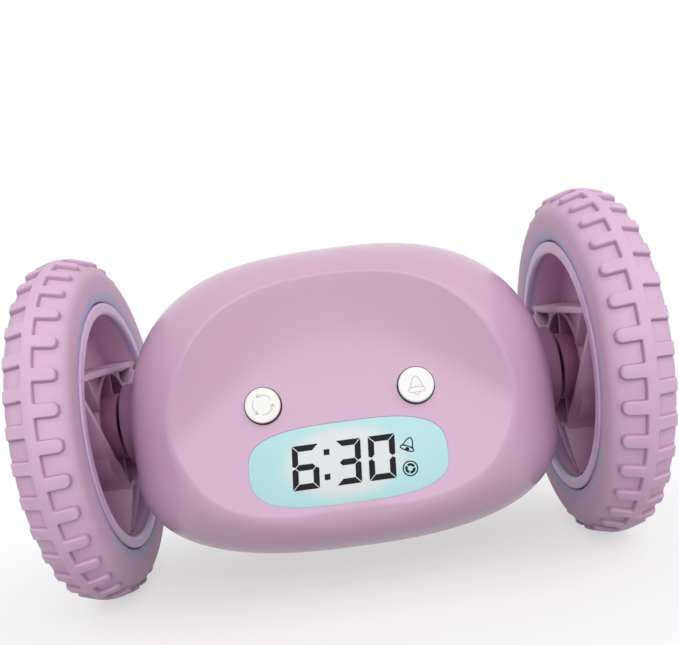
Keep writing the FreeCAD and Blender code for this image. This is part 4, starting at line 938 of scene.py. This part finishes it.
def front_button(node, x):
    """White cap with a dark skirt round it and a dark seal in its hole: both are painted shade in the gap
    round the cap.
    """
    low = -WALL - HOLE_GAP
    # dark skirt and seal: painted shade in the gap round the cap
    shade_skirt = face_tube(x, BUTTON_R - SHADE_SKIRT_T, BUTTON_R + 0.02, low, BUTTON_PROUD - SHADE_SKIRT_DROP)
    piece(node + "_skirt", shade_skirt, node, "switch_black", sharp=50.0)
    shade_seal = face_tube(x, BUTTON_R + SHADE_SEAL_GAP, BUTTON_R + HOLE_GAP + 0.03, low + 0.1, 0.0, SHADE_SEAL_SUNK)
    piece(node + "_seal", shade_seal, "chassis", "switch_black", sharp=50.0)
    profile = cap_profile(BUTTON_R, low, BUTTON_PROUD, BUTTON_ROUND,
                          [(BUTTON_R - 1.6, BUTTON_PROUD), (BUTTON_R - 3.0, BUTTON_PROUD)])
    piece(node + "_cap", loft([face_circle(x, BUTTON_V, radius, out) for radius, out in profile]), node,
          "button_white", replaced=[node], sharp=60.0)


def run_icon():
    """Three curved arrows in a ring."""
    lines = []
    for start in (25, 145, 265):
        path = arc(-BUTTON_X, BUTTON_V, ARROW_R, start, start + ARROW_TURN)
        lines.append(line(path, *ICON_HOW))
        x, v = path[-1]
        for turn in BARB_TURNS:
            away = radians(start + ARROW_TURN + 90 + turn)
            barb = [(x, v), (x + BARB * cos(away), v + BARB * sin(away))]
            lines.append(line(barb, *ICON_HOW))
    return lines


def alarm_icon():
    """Bell with its clapper."""
    clapper = arc(BUTTON_X, BUTTON_V - 1.78, CAP_CLAPPER_R, 180, 360, 12)
    return bell(BUTTON_X, BUTTON_V + 0.1, CAP_BELL, 0.0, *ICON_HOW) + [line(clapper, *ICON_HOW)]


def buttons():
    """Caps on the front and the back."""
    front_button("run_button", -BUTTON_X)
    front_button("alarm_button", BUTTON_X)
    for node, sign, icon in (("run_button", "arrows", run_icon()), ("alarm_button", "bell", alarm_icon())):
        piece(node + "_" + sign, merged(icon), node, "button_white", material="button_ink")
    for node, x in BACK_BUTTONS.items():
        top = span(node)[1].y
        profile = cap_profile(BACK_BUTTON_R, BACK_PANEL_Y - WALL - HOLE_GAP, top, BACK_BUTTON_ROUND,
                              [(BACK_BUTTON_R - 1.2, top - 0.05), (0.6, top - 0.16)])
        piece(node + "_cap", loft([back_circle(x, BACK_BUTTON_Z, radius, y, 72) for radius, y in profile]),
              node, "button_white", replaced=[node], sharp=60.0)


# ---- tyres
TREAD_DEPTH = 1.2
LUGS = 35
TYRE_TURN = {"left": 4.0, "right": 5.1}  # degrees that each tyre is turned on its rim
PITCH = 2 * pi * TYRE_R / LUGS
LUG_W = 0.38 * PITCH
LUG_TIP = 1.6             # free end of the inner lugs, from the inboard sidewall
CROWN_R = 12.5            # rounding of the tread across the tyre
BAND = (6.3, 8.7)
OUTER_END = 0.5
SHOULDER_IN, SHOULDER_OUT = 1.8, 0.8
TIP_ROUND_IN, TIP_ROUND_OUT, ROOT_ROUND = 1.15, 0.3, 0.35
CROWNED = 0.6             # height from which a point follows the crown, not the shoulders
BEAD_R = 32.65
PITCH_STEPS = 8           # points along one pitch of a sidewall
# offset from a lug's edge, height above the tread's floor and strength of the painted shade along the groove
TREAD_WALL = ((-0.34, 1.2, 0.0), (-0.2, 1.17, 0.0), (-0.08, 1.08, 0.0), (-0.02, 0.92, 0.25), (0.02, 0.3, 0.8),
              (0.1, 0.12, 0.9), (0.22, 0.03, 0.55), (0.38, 0.0, 0.15))
# rows of points across the tread's floor, inboard and outboard of the lugs
INNER_LEVELS = [SHOULDER_IN * share for share in (0.12, 0.35, 0.65)] + [3.2, 4.6]
OUTER_LEVELS = [TYRE_W - depth for depth in (0.25, 2.4, 3.6)]
# depth from the tyre's side and radius, from its tread down to its bead
SIDEWALL = ((0.0, 37.8), (0.04, 36.4), (0.1, 35.0), (0.25, 33.4), (0.5, BEAD_R + 0.2), (0.9, BEAD_R),
            (1.6, BEAD_R))


def tread_edge(v_band, v_tip, round_tip):
    """Edge of the raised tread over one pitch: along the band, round a lug and on."""
    half = LUG_W / 2
    corners = [(-half, v_band, ROOT_ROUND), (-half, v_tip, round_tip), (half, v_tip, round_tip),
               (half, v_band, ROOT_ROUND)]
    path = [(-PITCH / 2, v_band)] + [c[:2] for c in corners] + [(PITCH / 2, v_band)]
    points = path[:1]
    for i, (x, v, radius) in enumerate(corners, 1):
        if i == 3:
            points.append((0.0, v_tip))
        here = Vector((x, v))
        back = (Vector(path[i - 1]) - here).normalized()
        on = (Vector(path[i + 1]) - here).normalized()
        centre = here + (back + on) * radius
        count = 7 if radius > 0.6 else 4
        for k in range(count + 1):
            ray = back.lerp(on, k / count) * radius + here - centre
            points.append(tuple(centre + ray.normalized() * radius))
    return points + path[-1:]


def offset_edge(points, way, distance):
    """The edge moved away from the raised side; its ends and the lug's tip move straight."""
    moved = []
    last = len(points) - 1
    for i, (u, v) in enumerate(points):
        along = (Vector(points[min(last, i + 1)]) - Vector(points[max(0, i - 1)])).normalized()
        normal = Vector((-along.y, along.x)) * way
        if i in (0, last) or u == 0.0:
            normal = Vector((0, way))
        moved.append((u + normal.x * distance, v + normal.y * distance))
    return moved


def crown_r(v):
    """Radius of the crowned tread's top across the tyre."""
    across = v - (BAND[0] + BAND[1]) / 2
    return TYRE_R - CROWN_R + sqrt(CROWN_R ** 2 - across ** 2)


def floor_r(v):
    """Radius of the tread's floor across the tyre, with its rounded shoulders."""
    level = crown_r(v) - TREAD_DEPTH
    for radius, near in ((SHOULDER_IN, v), (SHOULDER_OUT, TYRE_W - v)):
        if near < radius:
            level += sqrt(max(0.0, radius ** 2 - (radius - near) ** 2)) - radius
    return level


def tread_point(u, v, height, phase, side):
    """Place of a point of the tread's pattern on the tyre."""
    turn = (u + phase) / TYRE_R
    raised = min(1.0, height / CROWNED)
    radius = floor_r(v) * (1 - raised) + (crown_r(v) - TREAD_DEPTH) * raised + height
    return (side * (TYRE_IN + v), -radius * sin(turn), AXLE_Z + radius * cos(turn))


def flat_region(border, inside):
    """Triangles between closed border points (u, v), with points inside; returns points and faces."""
    points = [Vector(p[:2]) for p in border] + [Vector(p) for p in inside]
    count = len(border)
    edges = [(i, (i + 1) % count) for i in range(count)]
    found = delaunay_2d_cdt(points, edges, [list(range(count))], 1, 1e-5)
    return [tuple(p) for p in found[0]], [tuple(f) for f in found[2]]


def pitch_steps(count):
    return [-PITCH / 2 + PITCH * i / count for i in range(count + 1)]


def shifted(row):
    """The outer lugs stand half a pitch on: turn the row's points round the pitch's borders."""
    half = PITCH / 2
    tip = [u for u, _ in row].index(0.0)
    return [(u - half, v) for u, v in row[tip:-1]] + [(u + half, v) for u, v in row[:tip + 1]]


def clear_of(u, v, row, rim_v, reach=0.9, room=0.15):
    """Whether a point lies between the rim line and the floor row, with a little room."""
    near = [p[1] for p in row if abs(p[0] - u) < reach]
    if not near:
        return True
    return v < min(near) - room if rim_v < row[0][1] else v > max(near) + room


def side_region(rim_v, floor_row, levels):
    """Tread floor between the lugs' feet and one sidewall, with points at the levels."""
    inboard = rim_v < floor_row[0][1]
    low, high = sorted((rim_v, floor_row[0][1]))
    sides = sorted((v for v in levels if low < v < high), reverse=inboard)
    right, left = [[(end, v) for v in sides] for end in (PITCH / 2, -PITCH / 2)]
    steps = pitch_steps(PITCH_STEPS)
    border = floor_row + right + [(u, rim_v) for u in steps[::-1]] + left[::-1]
    inside = [(u, v) for v in levels for u in steps[1:-1] if clear_of(u, v, floor_row, rim_v)]
    return flat_region(border, inside)


def pitch_patch():
    """Tread of one pitch as (u, v, height, painted shade) points and faces."""
    inner = tread_edge(BAND[0], LUG_TIP, TIP_ROUND_IN)
    outer = tread_edge(BAND[1], TYRE_W - OUTER_END, TIP_ROUND_OUT)
    inner_rows = [offset_edge(inner, -1, distance) for distance, _, _ in TREAD_WALL]
    outer_rows = [shifted(offset_edge(outer, 1, distance)) for distance, _, _ in TREAD_WALL]
    patches = []
    for rows in (inner_rows, outer_rows):
        points = [(u, v, height, dark) for row, (_, height, dark) in zip(rows, TREAD_WALL) for u, v in row]
        patches.append((points, grid_faces(len(rows), len(rows[0]), closed=False)))
    middle = [(u, (BAND[0] + BAND[1]) / 2) for u in pitch_steps(4)[1:-1]]
    points, faces = flat_region(inner_rows[0] + outer_rows[0][::-1], middle)
    patches.append(([(u, v, TREAD_DEPTH, 0.0) for u, v in points], faces))
    for rim_v, foot, levels in ((0.0, inner_rows[-1], INNER_LEVELS), (TYRE_W, outer_rows[-1], OUTER_LEVELS)):
        points, faces = side_region(rim_v, foot, levels)
        dark = [TREAD_WALL[-1][2]] * len(foot) + [0.0] * (len(points) - len(foot))
        patches.append(([(u, v, 0.0, d) for (u, v), d in zip(points, dark)], faces))
    return merged(patches)


def tyre(side_name, side):
    """Tyre of one wheel: its tread pitch by pitch, then its sidewalls and bead."""
    points, polygons = pitch_patch()
    start = radians(TYRE_TURN[side_name])
    phases = [lug * PITCH + start * TYRE_R for lug in range(LUGS)]
    verts, faces = merged([([tread_point(u, v, height, phase, side) for u, v, height, _ in points], polygons)
                           for phase in phases])
    # painted shade along the grooves, one value per point
    groove_shade = [dark for _, _, _, dark in points] * LUGS
    outline = [(TYRE_IN, floor_r(0.0))] + [(TYRE_IN + depth, radius) for depth, radius in SIDEWALL]
    outline += [(TYRE_OUT - depth, radius) for depth, radius in SIDEWALL[::-1]]
    outline.append((TYRE_OUT, floor_r(TYRE_W)))
    steps = LUGS * PITCH_STEPS
    faces += grid_faces(len(outline), steps, len(verts))
    for x, radius in outline:
        for turn in around(steps, -PITCH_STEPS / 2):
            turn += start
            verts.append((side * x, -radius * sin(turn), AXLE_Z + radius * cos(turn)))
    groove_shade += [0.0] * (len(verts) - len(groove_shade))
    piece("tyre_soft_" + side_name, (verts, faces), "wheel_" + side_name, "tyre_rubber",
          replaced=["tyre_" + side_name], sharp=75.0, weld=0.01, groove_shade=groove_shade)


# ---- rims, carriers and caps
def wheel_rings(side_name, side):
    """Rim with its closed outer disc, and the hub cap on it."""
    body = "wheel_" + side_name
    inner, outer = TYRE_IN + RIM_FLANGE_T, DISC_OUT - RIM_FLANGE_T
    low, step_in, step_out = DISC_OUT - DISC_STEP, CAP_R + DISC_STEP_W, RIM_BORE_R - DISC_STEP_W
    corners = [(TYRE_IN, RIM_BORE_R), (TYRE_IN, RIM_FLANGE_R), (inner, RIM_FLANGE_R), (inner, BARREL_R),
               (outer, BARREL_R), (outer, RIM_FLANGE_R), (DISC_OUT, RIM_FLANGE_R), (DISC_OUT, step_out),
               (low, step_out), (low, step_in), (DISC_OUT, step_in), (DISC_OUT, SCREW_HOLE_R),
               (DISC_IN, SCREW_HOLE_R), (DISC_IN, RIM_BORE_R)]
    radii = [1.0, 0.45, 0.2, 0.2, 0.2, 0.2, 0.5, 0.2, 0.2, 0.2, 0.2, 0.0, 0.0, 0.5]
    lathe("rim_ring_" + side_name, rounded(corners, radii), body, "rim_plastic", side,
          replaced=["rim_" + side_name], steps=256)
    top, pocket = DISC_OUT + CAP_T, DISC_OUT + POCKET
    cap = [(DISC_OUT, POCKET_R), (DISC_OUT, CAP_R), (top, CAP_R), (top, 0.001), (pocket, 0.001),
           (pocket, POCKET_R)]
    lathe("hub_cap_dome_" + side_name, rounded(cap, [0, 0, 0.7, 0, 0, 0]), body, "rim_plastic", side,
          replaced=["hub_cap_" + side_name], steps=128)


def finish_nodes():
    """Every CAD node still shown takes its slot's finish."""
    for name, node in frame["nodes"].items():
        node.data.materials.clear()
        node.data.materials.append(MATERIALS[SLOT_OF[name]])


# ---- light, floor and camera
FLOOR_R = 3.0
FLOOR_NEAR, FLOOR_FAR = 0.05, 0.16
FLOOR_SHARE = 0.55        # plain white mixed into the floor under the object
FLOOR_BOUNCE = [0.48, 0.47, 0.48, 1.0]
LAMP_AIM = (0, -0.01, 0.045)
LAMPS = {"key_front": ((0.02, -0.574, 0.36), 0.46, 1.58), "top_right": ((0.411, -0.305, 0.453), 0.4, 0.6)}


def aimed(thing, rotation):
    thing.rotation_mode = "QUATERNION"
    thing.rotation_quaternion = rotation


def lamps():
    """Square white lamps turned towards the object, by place, size and power."""
    for name, (place, size, power) in LAMPS.items():
        lamp = bpy.data.lights.new(name, "AREA")
        lamp.size = size
        lamp.energy = power
        thing = linked(name, lamp)
        thing.location = place
        aimed(thing, (Vector(LAMP_AIM) - Vector(place)).to_track_quat("-Z", "Y"))


def world_light():
    """White behind the object and in reflections, softer as a light."""
    world = bpy.data.worlds.new("studio")
    bpy.context.scene.world = world
    m = Nodes(world)
    up = m.parts(m.add("TexCoord").outputs["Generated"])[2]
    background = m.tree.nodes["Background"]
    m.feed(background.inputs["Strength"], m.seen(m.ramp(up, 0.0, 1.0, 0.38, 0.7, kind="LINEAR")))
    m.feed(background.inputs["Color"], (1, 1, 1, 1))


def floor():
    """Pale floor that keeps the object's shadow and fades into the white behind."""
    mesh = bpy.data.meshes.new("studio_floor")
    rim = [(FLOOR_R * cos(t), FLOOR_R * sin(t), 0.0) for t in around(96)]
    mesh.from_pydata(rim, [], [tuple(range(len(rim)))])
    m = Nodes()
    m.owner.name = "studio_floor"
    m.tree.nodes.remove(m.bsdf)
    seen = m.seen()
    diffuse = m.add("BsdfDiffuse")
    m.feed(diffuse.inputs["Color"], m.mix(seen, FLOOR_BOUNCE, [1.0, 1.0, 1.0, 1.0]))
    white = m.ramp(m.length(m.place()), FLOOR_NEAR, FLOOR_FAR, FLOOR_SHARE, 1.0)
    blend = m.fed("MixShader", (m.maths("MULTIPLY", white, seen), diffuse.outputs["BSDF"],
                                m.add("Emission").outputs["Emission"]))
    m.feed(m.tree.nodes["Material Output"].inputs["Surface"], blend.outputs["Shader"])
    mesh.materials.append(m.owner)
    thing = linked("studio_floor", mesh)


CAMERA_DISTANCE = 205.23
CAMERA_AZIMUTH = 0.56
CAMERA_ELEVATION = 8.56
CAMERA_ROLL = 7.82
CAMERA_FOCUS = 772.1      # in pixels of a picture 679 wide
PICTURE_W = 679.0
AIM_X, AIM_Z = -0.97, -5.94   # point in the picture's upright middle line, from the axle's middle
AIM_DROP = 95.95          # pixels from the picture's middle down to that point


def camera():
    """Camera at the photograph's viewing angle."""
    data = bpy.data.cameras.new("camera")
    thing = linked("camera", data)
    azimuth, elevation = radians(CAMERA_AZIMUTH), radians(CAMERA_ELEVATION)
    back = Vector((sin(azimuth) * cos(elevation), -cos(azimuth) * cos(elevation),
                   sin(elevation)))
    thing.location = (Vector((AIM_X, 0, AXLE_Z + AIM_Z)) + back * CAMERA_DISTANCE) * MM
    turn = (-back).to_track_quat("-Z", "Y").to_matrix().to_4x4()
    aimed(thing, (turn @ Matrix.Rotation(-radians(CAMERA_ROLL), 4, "Z")).to_quaternion())
    data.sensor_width = 36.0
    data.lens = CAMERA_FOCUS * data.sensor_width / PICTURE_W
    data.shift_y = AIM_DROP / PICTURE_W
    data.clip_start = 0.01
    bpy.context.scene.camera = thing


finish_nodes()
front_shell()
rear_shell()
display()
buttons()
for wheel_name, wheel_side in SIDES.items():
    tyre(wheel_name, wheel_side)
    wheel_rings(wheel_name, wheel_side)
for wheel_name in SIDES:
    softened("hub_carrier_" + wheel_name, 0.16, "hub_carrier_edges_" + wheel_name)
softened("battery_door", 0.2, "battery_door_soft")
world_light()
floor()
lamps()
camera()
bpy.context.scene.view_settings.view_transform = "Standard"
